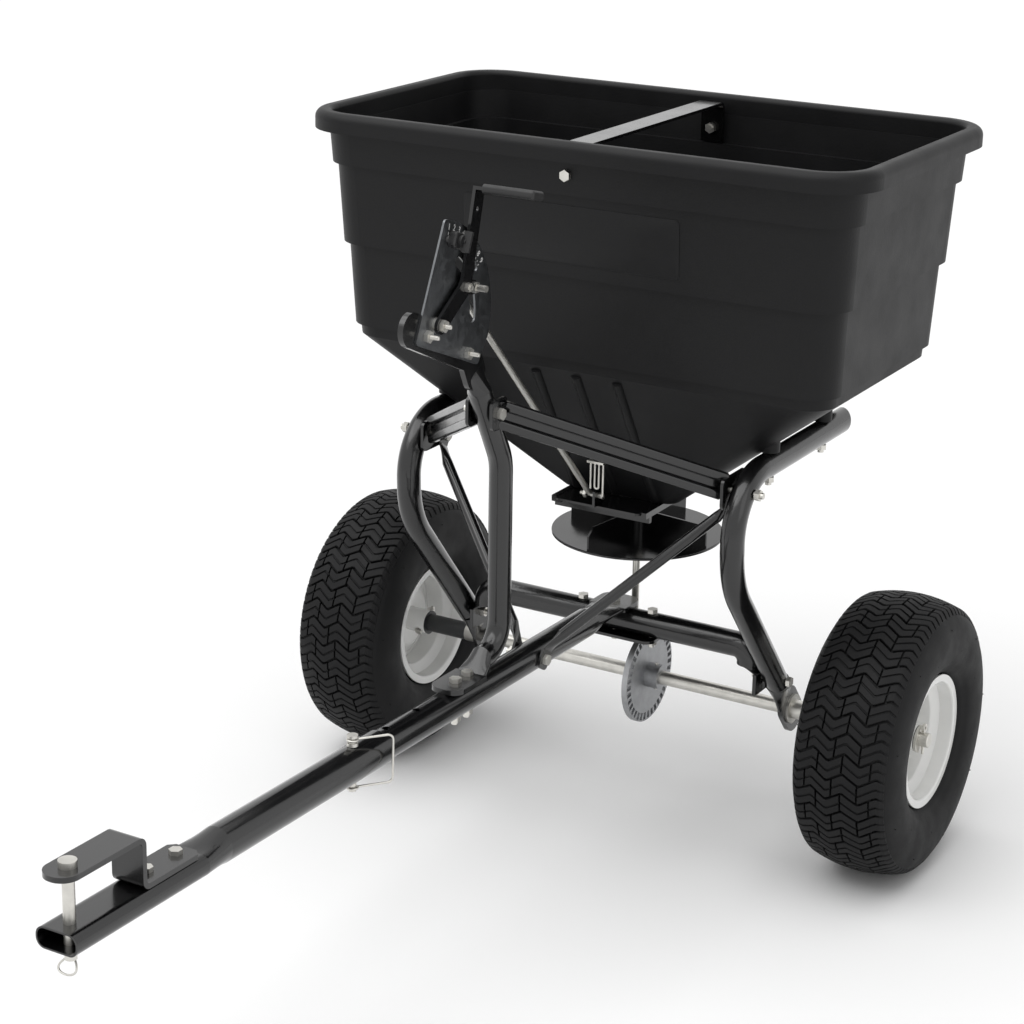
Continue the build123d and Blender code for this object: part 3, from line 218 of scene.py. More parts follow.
def emboss(tree, shader, source, height):
    """Bumps the surface with a noise, height in millimetres."""
    raised = add(tree, "ShaderNodeBump", [("Height", source, "Fac")],
                 {"Strength": 1.0, "Distance": height * MM})
    tree.links.new(raised.outputs["Normal"], shader.inputs["Normal"])


def shaded(
    name, base, dark, light, rough, grain, bump,
    metallic=0.0, ior=None, blotch=60.0, coat=0.0, sheen=0.5,
):
    """Base colour that drifts between two shades, roughness that drifts with it, and a fine bump.

    dark and light multiply the base colour, rough holds the ends of the roughness.
    grain and blotch are feature sizes in millimetres, bump is the height of the grain in
    millimetres. sheen below 0.5 stands for a grain that shades itself.
    """
    material, tree, shader = blank(name)
    shader.inputs["Metallic"].default_value = metallic
    shader.inputs["Specular IOR Level"].default_value = sheen
    if ior:
        shader.inputs["IOR"].default_value = ior
    if coat:
        shader.inputs["Coat Weight"].default_value = coat
        shader.inputs["Coat Roughness"].default_value = COAT_ROUGHNESS
    place = add(tree, "ShaderNodeTexCoord")
    wide = noise(tree, place, "Object", blotch, detail=5.0, rough=0.6)
    fine = noise(tree, place, "Object", grain, detail=3.0, rough=0.55)
    drift = stretch(tree, wide, "Fac", (0.0, 1.0))
    tint(tree, shader, drift, "Result", dim(base, dark), dim(base, light))
    roughen(tree, shader, wide, "Fac", rough)
    emboss(tree, shader, fine, bump)
    return material


def brushed(name, base, rough, streak, bump):
    """Plated metal with streaks along Y; streak is their width in millimetres."""
    material, tree, shader = blank(name)
    shader.inputs["Metallic"].default_value = 1.0
    place = add(tree, "ShaderNodeTexCoord")
    drawn = add(tree, "ShaderNodeMapping", [("Vector", place, "Object")], {"Scale": STREAK_SCALE})
    lines = noise(tree, drawn, "Vector", streak, detail=4.0)
    cloud = noise(tree, place, "Object", CLOUD_SIZE, detail=4.0)
    drift = stretch(tree, cloud, "Fac", (0.0, 1.0))
    tint(tree, shader, drift, "Result", dim(base, CLOUD_SHADE), base)
    roughen(tree, shader, lines, "Fac", rough)
    emboss(tree, shader, lines, bump)
    return material


def spangled(name, base):
    """Hot-dip zinc: flat crystals, each a slightly different grey."""
    material, tree, shader = blank(name)
    shader.inputs["Metallic"].default_value = 1.0
    place = add(tree, "ShaderNodeTexCoord")
    cells = add(tree, "ShaderNodeTexVoronoi", [("Vector", place, "Object")],
                {"Scale": per_metre(CRYSTAL_SIZE)})
    fine = noise(tree, place, "Object", CRYSTAL_GRAIN, detail=3.0)
    grey = add(tree, "ShaderNodeSeparateColor", [("Color", cells, "Color")])
    tint(tree, shader, grey, "Red", dim(base, CRYSTAL_SHADE), base)
    roughen(tree, shader, grey, "Green", CRYSTAL_ROUGH, band=(0.0, 1.0))
    emboss(tree, shader, fine, CRYSTAL_BUMP)
    return material


def finishes():
    """Makes every finish once and returns them by record slot."""
    if "Polyethylene_Grained" in bpy.data.materials:
        return {m["slot"]: m for m in bpy.data.materials if "slot" in m}
    hue = colours()
    made = {
        # moulded polyethylene: satin, with a leathery grain drawn larger than life
        "hopper_plastic": shaded(
            "Polyethylene_Grained", hue.hopper, dark=0.88, light=1.12, rough=(0.42, 0.52),
            grain=2.4, bump=0.16, ior=1.51, sheen=0.2,
        ),
        # powder coat: deep gloss black with a slight orange peel
        "black_paint": shaded(
            "PowderCoat_Black", hue.paint, dark=0.8, light=1.15, rough=(0.17, 0.27),
            grain=4.0, bump=0.05, ior=1.5, coat=0.35,
        ),
        # zinc plate over steel: bright, with faint streaks
        "zinc_steel": brushed(
            "Steel_ZincPlated", hue.zinc, rough=(0.28, 0.45), streak=0.9, bump=0.02
        ),
        # galvanised sheet: dull grey crystals
        "galvanised_sheet": spangled("Steel_Galvanised", hue.galvanised),
        # cast gear: matt grey with a sandy skin
        "cast_gear": shaded(
            "Iron_Cast", hue.cast, dark=0.8, light=1.1, rough=(0.4, 0.54),
            grain=1.8, bump=0.12, metallic=1.0, blotch=14.0,
        ),
        # tyre compound: near black, dusty in patches
        "tyre_rubber": shaded(
            "Rubber_Tyre", hue.rubber, dark=0.82, light=1.28, rough=(0.55, 0.72),
            grain=1.5, bump=0.1, ior=1.52, blotch=34.0, sheen=0.22,
        ),
        # baked enamel: white and glossy, faint waviness
        "white_paint": shaded(
            "Enamel_White", hue.rim, dark=0.96, light=1.0, rough=(0.16, 0.26),
            grain=9.0, bump=0.03, ior=1.5, coat=0.25,
        ),
        # injection moulded plastic: glossy black, faint flow marks
        "gloss_black_plastic": shaded(
            "Polypropylene_Gloss", hue.gloss, dark=0.85, light=1.2, rough=(0.1, 0.2),
            grain=12.0, bump=0.03, ior=1.49,
        ),
        # acetal bushes: plain grey, slightly waxy
        "bush_plastic": shaded(
            "Acetal_Grey", hue.bush, dark=0.9, light=1.05, rough=(0.38, 0.5),
            grain=2.0, bump=0.03, ior=1.48, blotch=12.0,
        ),
        # soft grip: matt black with a fine pebble
        "grip_plastic": shaded(
            "Vinyl_Grip", hue.grip, dark=0.85, light=1.2, rough=(0.45, 0.58),
            grain=1.6, bump=0.12, ior=1.53, blotch=16.0,
        ),
        # scale ink: flat pale print
        "ink": shaded(
            "Ink_Print", hue.mark, dark=0.9, light=1.1, rough=(0.5, 0.62),
            grain=0.8, bump=0.01, ior=1.5, blotch=6.0,
        ),
    }
    for slot, material in made.items():
        material["slot"] = slot
    return made


# Mesh helpers


def mesh_object(name, build, material):
    """Runs build(bm) in a new bmesh and returns the object with that mesh and material."""
    work = bmesh.new()
    build(work)
    bmesh.ops.recalc_face_normals(work, faces=work.faces)
    mesh = bpy.data.meshes.new(name)
    work.to_mesh(mesh)
    work.free()
    mesh.materials.append(material)
    made = bpy.data.objects.new(name, mesh)
    bpy.context.scene.collection.objects.link(made)
    return made


def soften(made, angle):
    """Smooth shading that keeps edges sharper than the angle in degrees."""
    for face in made.data.polygons:
        face.use_smooth = True
    made.data.set_sharp_from_angle(angle=math.radians(angle))


def settle(made, body, slot, *nodes):
    """Ties a piece to its body and hides the CAD nodes it stands for. slot is not used."""
    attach(made, body)
    if nodes:
        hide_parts(*nodes)


def strip(work, rings, closed=False):
    """Joins rings of points into a skin; the two ends are capped unless closed."""
    rows = [[work.verts.new(p) for p in ring] for ring in rings]
    pairs = list(zip(rows, rows[1:])) + ([(rows[-1], rows[0])] if closed else [])
    count = len(rows[0])
    for a, b in pairs:
        for i in range(count):
            j = (i + 1) % count
            work.faces.new((a[i], a[j], b[j], b[i]))
    if not closed:
        work.faces.new(rows[0])
        work.faces.new(list(reversed(rows[-1])))


def circle(count):
    """Cosine and sine of evenly spaced turns."""
    return [(math.cos(math.tau * k / count), math.sin(math.tau * k / count)) for k in range(count)]


def around(x, radius, centre, count):
    """Ring of points about an axis along X, centre holds its Y and Z."""
    return [(x, centre[0] + radius * c, centre[1] + radius * s) for c, s in circle(count)]


# Tyres, in millimetres

# Casing from bead to crown on one side, as (distance from the centre plane, radius)
CASING = (
    (44, 90), (53, 89.5), (57.5, 93), (60.5, 96.5), (61.5, 99.5), (64.5, 103), (67.2, 109),
    (69.2, 118), (70.3, 126), (70.4, 134), (69.6, 143), (68, 151), (65.5, 159), (62, 165),
    (57, 169.5), (50, 172), (38, 174.6), (24, 176.4), (10, 177.4), (0, 177.5),
)
# Inside of the casing from the centre plane to the bead
CASING_INSIDE = ((0, 171), (38, 169), (55, 158), (61, 138), (58, 112), (44, 95))
CASING_STEPS = 144
CASING_SHARP = 34
# First point of CASING that can lie under the tread
SIDEWALL = 8

# Outside of the tread: its top, half its flat width, and how it falls off in and past that width
TREAD_TOP = 184
TREAD_HALF = 54
TREAD_FALL = 0.00309
SHOULDER_TOP = 175
SHOULDER_FALL = 0.53
SHOULDER_POWER = 1.35
# Radius at which the rows are spaced, and length and height of their zigzag
ROW_RADIUS = 178.0
WAVE_LENGTH = 42.0
WAVE_HEIGHT = 6.5
# Where the tread rows are cut into blocks, across the tyre; the two patterns take turns
ROW_CUTS = ((-62, -41, -3, 30, 62), (-62, -24, 9, 45, 62))
# Half the gap at a cut, step along a block and least steps, sink of the foot, and how far the
# blocks stay inside the CAD tyre
CUT_HALF = 1.3
BLOCK_STEP = 3.5
BLOCK_STEPS_MIN = 4
BLOCK_SINK = 2.5
TREAD_ROOM = 0.2
# Cross-section of a block with its sipe: share of the row, and depth below its top or None for
# the foot
BLOCK_SECTION = (
    (-0.47, None), (-0.43, 0.6), (-0.4, 0.0), (-0.07, 0.0), (-0.04, 2.2),
    (0.04, 2.2), (0.07, 0.0), (0.4, 0.0), (0.43, 0.6), (0.47, None),
)

# Whiskers of one sidewall: count, sides, length, radius, turn between the two sidewalls in radians
NUB_COUNT = 18
NUB_SIDES = 6
NUB_LENGTH = 1.5
NUB_RADIUS = 0.8
NUB_TURN = 0.06
# Even and odd whiskers, as (distance from the centre plane, radius)
NUB_PLACES = ((67.4, 152.0), (68.6, 122.0))

# Side, CAD tyre, body, and turn of the first tread row in radians
TYRES = ((1, "right_tyre", "right_wheel", 0.03), (-1, "left_tyre", "axle", 0.11))


def crown(across):
    """Radius of the casing under the tread at this distance from the centre plane."""
    edge = abs(across)
    for (x1, r1), (x0, r0) in zip(CASING[SIDEWALL:], CASING[SIDEWALL + 1:]):
        if x0 <= edge <= x1:
            return r1 + (r0 - r1) * (x1 - edge) / (x1 - x0)
    return CASING[SIDEWALL][1]


def on_tyre(side, across, radius, turn):
    """Point on a wheel from millimetres across, millimetres out and radians round."""
    return (
        side * WHEEL_X + across * MM,
        AXLE_Y + radius * MM * math.cos(turn),
        AXLE_Z + radius * MM * math.sin(turn),
    )


def casing(side):
    """Skin of revolution for the tyre body, closed inside by the bead."""
    loop = list(CASING) + [(-x, r) for x, r in reversed(CASING[:-1])]
    loop += [(-x, r) for x, r in reversed(CASING_INSIDE[1:])] + list(CASING_INSIDE)

    def build(work):
        turns = [math.tau * i / CASING_STEPS for i in range(CASING_STEPS)]
        rings = [[on_tyre(side, x, r, turn) for x, r in loop] for turn in turns]
        strip(work, rings, closed=True)
    return build


def tread_radius(across):
    """Outside radius of the CAD tyre at this distance from the centre plane."""
    edge = abs(across)
    if edge <= TREAD_HALF:
        return TREAD_TOP - TREAD_FALL * edge * edge
    return SHOULDER_TOP - SHOULDER_FALL * (edge - TREAD_HALF) ** SHOULDER_POWER


def zigzag(across):
    """Shift of a tread row round the tyre: a triangle wave across the tread."""
    phase = (across / WAVE_LENGTH + 0.25) % 1.0
    return WAVE_HEIGHT * (4 * abs(phase - 0.5) - 1)


def tread(side, first):
    """Rows of zigzag turf blocks, each with a sipe along its middle."""
    count = sizes().lug_count
    depth = sizes().lug_depth / MM
    row = math.tau * ROW_RADIUS / count

    def block(start, left, right):
        steps = max(BLOCK_STEPS_MIN, round((right - left) / BLOCK_STEP))
        rings = []
        for k in range(steps + 1):
            across = left + (right - left) * k / steps
            top = min(tread_radius(across) - TREAD_ROOM, crown(across) + depth)
            ring = []
            for share, below in BLOCK_SECTION:
                out = crown(across) - BLOCK_SINK if below is None else top - below
                turn = start + (zigzag(across) + share * row) / ROW_RADIUS
                ring.append(on_tyre(side, across, out, turn))
            rings.append(ring)
        return rings

    def build(work):
        for i in range(count):
            start = first + math.tau * i / count
            cuts = ROW_CUTS[i % 2]
            for left, right in zip(cuts, cuts[1:]):
                strip(work, block(start, left + CUT_HALF, right - CUT_HALF))
    return build


def nubs(side, first):
    """Short moulding whiskers on the sidewalls and shoulders."""
    def whisker(half, i):
        turn = first + math.tau * i / NUB_COUNT + (NUB_TURN if half > 0 else 0.0)
        across, radius = NUB_PLACES[i % 2]
        return [
            [
                on_tyre(side, half * (across + grow), radius + NUB_RADIUS * s,
                        turn + NUB_RADIUS * c / radius)
                for c, s in circle(NUB_SIDES)
            ]
            for grow in (0.0, NUB_LENGTH)
        ]

    def build(work):
        for half in (-1, 1):
            for i in range(NUB_COUNT):
                strip(work, whisker(half, i))
    return build


class SPREADER_OT_tyres(bpy.types.Operator):
    """Builds both treaded tyres in place of the plain CAD tyres"""
    bl_idname = "spreader.tyres"
    bl_label = "Tyres"

    def execute(self, context):
        rubber = finishes()["tyre_rubber"]
        for side, name, body, first in TYRES:
            carcass = mesh_object(name + "_casing", casing(side), rubber)
            soften(carcass, CASING_SHARP)
            settle(carcass, body, "tyre_rubber", name)
            blocks = mesh_object(name + "_tread", tread(side, first), rubber)
            settle(blocks, body, "tyre_rubber")
            whiskers = mesh_object(name + "_nubs", nubs(side, first), rubber)
            settle(whiskers, body, "tyre_rubber")
        return {"FINISHED"}


# Control plate scale

# Lever pivot, as millimetres behind the axle and over the ground
PIVOT_PLACE = (-516, 786)
PIVOT = from_axle(*PIVOT_PLACE)
# Numbers on the scale, angle of the first and angle to the last in degrees
MARKS = 9
SCALE_START = 76
SCALE_SPAN = 46
# Distance of the numbers from the pivot in mm, half their thickness and their lift off the plate
FIGURE_RADIUS = 110
FIGURE_HALF = 0.05 * MM
FIGURE_LIFT = 0.08 * MM
# Ticks: inner ends of long and short ones and outer end in mm from the pivot, and height
TICK_INNER = (101.2, 102.4)
TICK_OUTER = 104.2
TICK_RISE = 0.12 * MM
# Half the width of a tick, as degrees at a radius in mm
TICK_HALF = 0.22
TICK_RADIUS = 100


def on_plate(radius, degrees, lift=0.0):
    """Point on the face of the control plate, polar about the lever pivot, radius in mm."""
    turn = math.radians(degrees)
    return Vector((
        PLATE_FACE + lift,
        PIVOT[0] + radius * MM * math.cos(turn),
        PIVOT[1] + radius * MM * math.sin(turn),
    ))


def scale_ticks(work):
    """One long tick at every number and a short one between two."""
    rise = Vector((TICK_RISE, 0, 0))
    for i in range(2 * MARKS - 1):
        degrees = SCALE_START - i * SCALE_SPAN / 2 / (MARKS - 1)
        ends = on_plate(TICK_INNER[i % 2], degrees), on_plate(TICK_OUTER, degrees)
        one, other = (on_plate(TICK_RADIUS, degrees + d) for d in (-TICK_HALF, TICK_HALF))
        beside = (other - one) / 2
        strip(work, [
            [p - beside, p + beside, p + beside + rise, p - beside + rise] for p in ends
        ])


class SPREADER_OT_scale(bpy.types.Operator):
    """Prints plain numbers and ticks beside the outer slot of the control plate"""
    bl_idname = "spreader.scale"
    bl_label = "Flow scale"

    def execute(self, context):
        ink = finishes()["ink"]
        for i in range(MARKS):
            degrees = SCALE_START - i * SCALE_SPAN / (MARKS - 1)
            text = bpy.data.curves.new("scale_figure", "FONT")
            text.body = str(i + 1)
            text.size = sizes().figure_height
            text.align_x = "CENTER"
            text.align_y = "CENTER"
            text.extrude = FIGURE_HALF
            holder = bpy.data.objects.new("scale_figure", text)
            context.scene.collection.objects.link(holder)
            out = Vector((0, math.cos(math.radians(degrees)), math.sin(math.radians(degrees))))
            along = out.cross(Vector((1, 0, 0)))
            turn = Matrix((along, out, along.cross(out))).transposed().to_4x4()
            place = on_plate(FIGURE_RADIUS, degrees, FIGURE_LIFT)
            holder.matrix_world = Matrix.Translation(place) @ turn
            graph = context.evaluated_depsgraph_get()
            shape = bpy.data.meshes.new_from_object(holder.evaluated_get(graph))
            made = bpy.data.objects.new(f"scale_figure_{i + 1}", shape)
            made.matrix_world = holder.matrix_world.copy()
            shape.materials.clear()
            shape.materials.append(ink)
            context.scene.collection.objects.link(made)
            bpy.data.objects.remove(holder)
            settle(made, "frame", "galvanised_sheet")

        made = mesh_object("scale_ticks", scale_ticks, ink)
        settle(made, "frame", "galvanised_sheet")
        return {"FINISHED"}


# Hopper panel

# Second band of the front wall at its top and foot: height, and distance in from the lip, in mm
BAND_TOP = (880, 27.5)
BAND_FOOT = (776, 32.5)
BAND_LEAN = (BAND_FOOT[1] - BAND_TOP[1]) / (BAND_TOP[0] - BAND_FOOT[0])
# Half the width of the panel, its lower and upper edge and the radius of its corners
PANEL_HALF = 150 * MM
PANEL_LOW = 793 * MM
PANEL_HIGH = 866 * MM
PANEL_CORNER = 6 * MM
PANEL_CORNER_STEPS = 6
# How far the panel is sunk in the wall, the bevel of its edge, and the share of the rise below it
PANEL_SINK = 0.5 * MM
PANEL_BEVEL = 0.5 * MM
PANEL_EDGE = 0.6
PANEL_SHARP = 50


def front_wall(z):
    """Y of the hopper's front wall at this height."""
    return HOPPER_FRONT + (BAND_TOP[1] * MM + (BAND_TOP[0] * MM - z) * BAND_LEAN)


def panel_ring(shrink, lift):
    """Rounded outline of the panel, drawn in by shrink and lifted off the wall."""
    radius = PANEL_CORNER - shrink
    ring = []
    for sx, sz, start in ((1, 1, 0), (-1, 1, 90), (-1, -1, 180), (1, -1, 270)):
        x0 = sx * (PANEL_HALF - PANEL_CORNER)
        z0 = (PANEL_HIGH if sz > 0 else PANEL_LOW) - sz * PANEL_CORNER
        for k in range(PANEL_CORNER_STEPS + 1):
            turn = math.radians(start + 90 * k / PANEL_CORNER_STEPS)
            z = z0 + radius * math.sin(turn)
            ring.append((x0 + radius * math.cos(turn), front_wall(z) - lift, z))
    return ring


class SPREADER_OT_panel(bpy.types.Operator):
    """Adds the plain raised panel on the front wall of the hopper"""
    bl_idname = "spreader.panel"
    bl_label = "Hopper panel"

    def execute(self, context):
        rise = sizes().panel_rise

        def build(work):
            strip(work, [
                panel_ring(0, -PANEL_SINK),
                panel_ring(0, rise * PANEL_EDGE),
                panel_ring(PANEL_BEVEL, rise),
            ])
        made = mesh_object("hopper_panel", build, finishes()["hopper_plastic"])
        soften(made, PANEL_SHARP)
        settle(made, "frame", "hopper_plastic")
        return {"FINISHED"}


# Bolt ends

STUD_RADIUS = 2.7 * MM
STUD_SIDES = 16
STUD_SHARP = 50
# How far a bolt end starts inside the bolt's head
STUD_SINK = 1 * MM
# End of the crest, and start and end of the root, as shares of the pitch
THREAD_CREST, THREAD_FOOT, THREAD_ROOT = 0.3, 0.6, 0.9
# Root, end and tip of the thread as shares of its radius, and length of the tip
ROOT_SHARE, END_SHARE, TIP_SHARE = 0.88, 0.9, 0.6
TIP_LENGTH = 0.6 * MM
# Name, CAD bolts, places in mm behind the axle and over the ground, reach past the head
STUDS = (
    ("plate_studs", "plate_bolts", ((-535, 777), (-449, 738)), 11 * MM),
    ("pivot_stud", "pivot_bolt", (PIVOT_PLACE,), 7 * MM),
)
# Foot of the control rod at the gate lug, in mm behind the axle and over the ground
ROD_FOOT = (-110, 468)
# Hexagon nut there: X from the rod's end and radius, both in mm
NUT_PROFILE = ((-4.6, 5.0), (-4.2, 5.6), (-0.6, 5.6), (0.4, 5.0))
NUT_SIDES = 6
# Start and end of the bolt end in the nut, as X from the rod's end
NUT_STUD = (-9 * MM, -4 * MM)


def stud(work, start, end, centre, pitch):
    """Threaded bolt end along X with a chamfered tip."""
    root = STUD_RADIUS * ROOT_SHARE
    profile = [(start, STUD_RADIUS)]
    for k in range(int((end - start) / pitch)):
        x = start + k * pitch
        profile += [
            (x + THREAD_CREST * pitch, STUD_RADIUS),
            (x + THREAD_FOOT * pitch, root),
            (x + THREAD_ROOT * pitch, root),
        ]
    profile += [(end, STUD_RADIUS * END_SHARE), (end + TIP_LENGTH, STUD_RADIUS * TIP_SHARE)]
    strip(work, [around(x, r, centre, STUD_SIDES) for x, r in profile])


class SPREADER_OT_studs(bpy.types.Operator):
    """Adds the threaded bolt ends at the control plate and the nut at the foot of the rod"""
    bl_idname = "spreader.studs"
    bl_label = "Bolt ends"

    def execute(self, context):
        zinc = finishes()["zinc_steel"]
        pitch = sizes().thread_pitch
        for name, node, places, reach in STUDS:
            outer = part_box(node)[1][0]

            def build(work):
                for place in places:
                    stud(work, outer - STUD_SINK, outer + reach, from_axle(*place), pitch)
            made = mesh_object(name, build, zinc)
            soften(made, STUD_SHARP)
            settle(made, "frame", "zinc_steel")

        foot = from_axle(*ROD_FOOT)
        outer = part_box("control_rod")[0][0]

        def nut(work):
            strip(work, [around(outer + x * MM, r * MM, foot, NUT_SIDES) for x, r in NUT_PROFILE])
            stud(work, outer + NUT_STUD[0], outer + NUT_STUD[1], foot, pitch)
        made = mesh_object("rod_nut", nut, zinc)
        settle(made, "rod", "zinc_steel")
        return {"FINISHED"}


# Hitch ring

# Height of the eye over the end of the hitch pin
EYE_HEIGHT = 2.5 * MM
RING_HANG = Vector((0, -0.6, -0.8))
# Width as a share of the drop, and the part of it that is there at the eye
RING_WIDTH = 0.78
RING_NARROW = 0.35
RING_STEPS = 40
RING_SIDES = 10
RING_SHARP = 60


class SPREADER_OT_ring(bpy.types.Operator):
    """Builds the pear-shaped spring ring through the foot of the hitch pin"""
    bl_idname = "spreader.ring"
    bl_label = "Hitch ring"

    def execute(self, context):
        low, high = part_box("hitch_pin")
        eye = Vector(((low[0] + high[0]) / 2, (low[1] + high[1]) / 2, low[2] + EYE_HEIGHT))
        across = Vector((1, 0, 0))
        facing = across.cross(RING_HANG)
        wire = sizes().ring_wire / 2
        drop = sizes().ring_drop
        points = []
        for c, s in circle(RING_STEPS):
            fall = (1 - c) / 2
            reach = RING_WIDTH * drop * s * (RING_NARROW + (1 - RING_NARROW) * fall)
            points.append(eye + across * reach + RING_HANG * (drop * fall))

        def build(work):
            rings = []
            for k, point in enumerate(points):
                ahead = (points[(k + 1) % RING_STEPS] - points[k - 1]).normalized()
                beside = ahead.cross(facing)
                rings.append([
                    point + wire * (facing * c + beside * s) for c, s in circle(RING_SIDES)
                ])
            strip(work, rings, closed=True)
        made = mesh_object("hitch_ring", build, finishes()["zinc_steel"])
        soften(made, RING_SHARP)
        settle(made, "frame", "zinc_steel", "hitch_clip")
        return {"FINISHED"}


# Finishes of the CAD nodes

# Nodes whose finish in the photograph differs from their record slot
OTHER_FINISH = {"stop_screw": "grip_plastic", "axle_bushes": "zinc_steel"}


class SPREADER_OT_finishes(bpy.types.Operator):
    """Gives every CAD node the finish of its record slot"""
    bl_idname = "spreader.finishes"
    bl_label = "Finishes"

    def execute(self, context):
        by_slot = finishes()
        slots = {row["node"]: row["material_slot"] for row in frame["record"]["subparts"]}
        for name, made in frame["nodes"].items():
            slot = OTHER_FINISH.get(name, slots.get(name))
            if slot not in by_slot:
                raise RuntimeError(f"node {name} names no known slot: {slot}")
            if not made.data.materials:
                made.data.materials.append(by_slot[slot])
            for i in range(len(made.material_slots)):
                made.material_slots[i].material = by_slot[slot]
        return {"FINISHED"}


# Stage

WHITE = linear("#FFFFFF")
# Half the side of the floor, its drop under the tyres and its roughness
FLOOR_HALF = 30
FLOOR_DROP = 0.0005
FLOOR_ROUGHNESS = 0.9
# Strength of the world as a light, and as the background that is seen
WORLD_FILL = 0.46
WORLD_SEEN = 1.0
# Area lamps: name, place, width and height, watts; all point at LAMP_AIM
LAMPS = (
    ("key", (-1.6, -2.2, 3.4), (2.6, 2.0), 12),
    ("side", (3.2, -0.6, 2.2), (2.0, 2.4), 9),
)
LAMP_AIM = (0, 0.35, 0.5)
# Wide, even light that keeps the floor white to its edges: strength, spread and tilt in degrees
SUN_STRENGTH = 1.85
SUN_SPREAD = 70
SUN_TILT = (12, -10, 0)
# Camera fitted to the photograph: place in mm with Y from the axle, and turns in degrees
CAMERA_PLACE = (1430.98, -2760.96, 1487.61)
CAMERA_YAW, CAMERA_PITCH, CAMERA_ROLL = 30.51, 19.12, -0.84
# Focal length and sensor width in mm, and how far the camera sees in metres
CAMERA_LENS = 86.25
CAMERA_SENSOR = 36
CAMERA_REACH = 100


def area_light(name, place, size, power):
    """Rectangular lamp that points at LAMP_AIM."""
    lamp = bpy.data.lights.new(name, "AREA")
    lamp.shape = "RECTANGLE"
    lamp.size, lamp.size_y = size
    lamp.energy = power
    made = bpy.data.objects.new(name, lamp)
    bpy.context.scene.collection.objects.link(made)
    made.location = place
    ray = Vector(LAMP_AIM) - Vector(place)
    made.rotation_euler = ray.to_track_quat("-Z", "Y").to_euler()


def studio_world():
    """Dim white world that is full white where it is seen, mirrored or looked through."""
    world = bpy.data.worlds.new("Studio")
    world.use_nodes = True
    tree = world.node_tree
    tree.nodes.clear()
    path = add(tree, "ShaderNodeLightPath")
    mirrored = add(tree, "ShaderNodeMath", [(0, path, "Is Camera Ray"), (1, path, "Is Glossy Ray")],
                   operation="MAXIMUM")
    seen = add(tree, "ShaderNodeMath", [(0, mirrored, "Value"), (1, path, "Is Transmission Ray")],
               operation="MAXIMUM")
    fill = add(tree, "ShaderNodeBackground", sockets={"Color": WHITE, "Strength": WORLD_FILL})
    white = add(tree, "ShaderNodeBackground", sockets={"Color": WHITE, "Strength": WORLD_SEEN})
    pick = add(tree, "ShaderNodeMixShader",
               [("Fac", seen, "Value"), (1, fill, "Background"), (2, white, "Background")])
    add(tree, "ShaderNodeOutputWorld", [("Surface", pick, "Shader")])
    return world


def photo_camera():
    """Camera at the photograph's place, turn and lens."""
    lens = bpy.data.cameras.new("camera")
    lens.sensor_width = CAMERA_SENSOR
    lens.lens = CAMERA_LENS
    lens.clip_end = CAMERA_REACH
    camera = bpy.data.objects.new("camera", lens)
    bpy.context.scene.collection.objects.link(camera)
    yaw, pitch, roll = (math.radians(v) for v in (CAMERA_YAW, CAMERA_PITCH, CAMERA_ROLL))
    level = math.cos(pitch)
    ahead = Vector((-math.sin(yaw) * level, math.cos(yaw) * level, -math.sin(pitch)))
    right = ahead.cross(Vector((0, 0, 1))).normalized()
    down = ahead.cross(right)
    across = right * math.cos(roll) + down * math.sin(roll)
    up = right * math.sin(roll) - down * math.cos(roll)
    turn = Matrix((across, up, -ahead)).transposed().to_4x4()
    place = Vector(CAMERA_PLACE) * MM + Vector((0, AXLE_Y, 0))
    camera.matrix_world = Matrix.Translation(place) @ turn
    return camera


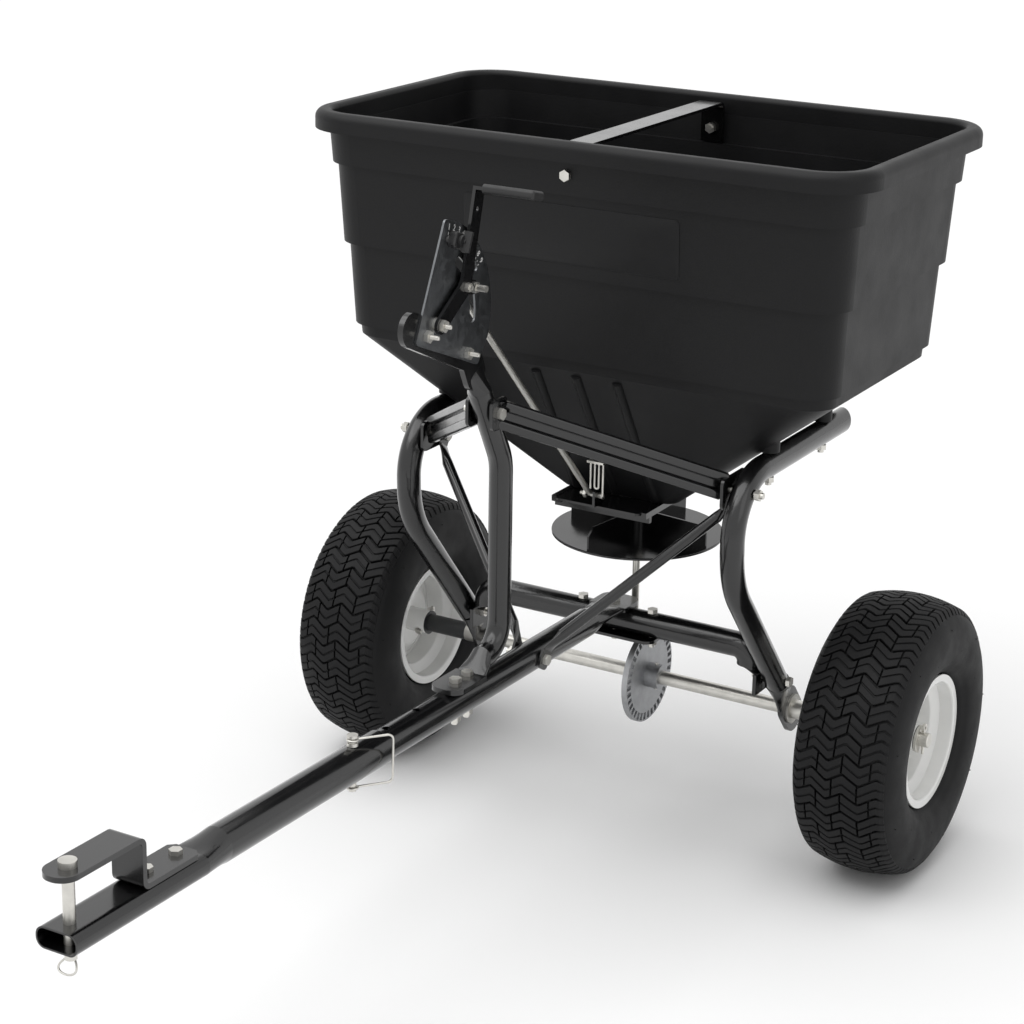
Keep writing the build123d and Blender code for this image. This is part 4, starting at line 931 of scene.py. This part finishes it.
class SPREADER_OT_stage(bpy.types.Operator):
    """Sets the white floor, the soft studio light and the camera of the photograph"""
    bl_idname = "spreader.stage"
    bl_label = "Stage"

    def execute(self, context):
        scene = context.scene
        # matt white floor that fades to the background
        material, _, shader = blank("Paper_White")
        shader.inputs["Base Color"].default_value = WHITE
        shader.inputs["Roughness"].default_value = FLOOR_ROUGHNESS
        shader.inputs["Specular IOR Level"].default_value = 0.0

        def sheet(work):
            for x, y in ((-1, -1), (1, -1), (1, 1), (-1, 1)):
                work.verts.new((x * FLOOR_HALF, y * FLOOR_HALF, -FLOOR_DROP))
            work.verts.ensure_lookup_table()
            work.faces.new(work.verts)
        floor = mesh_object("floor", sheet, material)

        scene.world = studio_world()
        for name, place, size, power in LAMPS:
            area_light(name, place, size, power)
        sun = bpy.data.lights.new("ceiling", "SUN")
        sun.energy = SUN_STRENGTH
        sun.angle = math.radians(SUN_SPREAD)
        ceiling = bpy.data.objects.new("ceiling", sun)
        scene.collection.objects.link(ceiling)
        ceiling.rotation_euler = [math.radians(v) for v in SUN_TILT]

        scene.camera = photo_camera()
        scene.view_settings.view_transform = "Standard"
        return {"FINISHED"}


class SPREADER_PT_panel(bpy.types.Panel):
    """Sizes, colours and building steps of the spreader"""
    bl_label = "Spreader"
    bl_idname = "SPREADER_PT_panel"
    bl_space_type = "VIEW_3D"
    bl_region_type = "UI"
    bl_category = "Spreader"

    def draw(self, context):
        column = self.layout.column()
        for group in (context.scene.spreader_sizes, context.scene.spreader_colours):
            for key in group.bl_rna.properties.keys():
                if key not in ("rna_type", "name"):
                    column.prop(group, key)
        for step in STEPS:
            column.operator(step.bl_idname)


STEPS = (
    SPREADER_OT_finishes,
    SPREADER_OT_tyres,
    SPREADER_OT_scale,
    SPREADER_OT_panel,
    SPREADER_OT_studs,
    SPREADER_OT_ring,
    SPREADER_OT_stage,
)
CLASSES = (SpreaderSizes, SpreaderColours, *STEPS, SPREADER_PT_panel)


def register():
    for item in CLASSES:
        bpy.utils.register_class(item)
    bpy.types.Scene.spreader_sizes = PointerProperty(type=SpreaderSizes)
    bpy.types.Scene.spreader_colours = PointerProperty(type=SpreaderColours)


def unregister():
    del bpy.types.Scene.spreader_colours
    del bpy.types.Scene.spreader_sizes
    for item in reversed(CLASSES):
        bpy.utils.unregister_class(item)


def main():
    register()
    bpy.ops.spreader.finishes()
    bpy.ops.spreader.tyres()
    bpy.ops.spreader.scale()
    bpy.ops.spreader.panel()
    bpy.ops.spreader.studs()
    bpy.ops.spreader.ring()
    bpy.ops.spreader.stage()


if __name__ == "__main__":
    main()
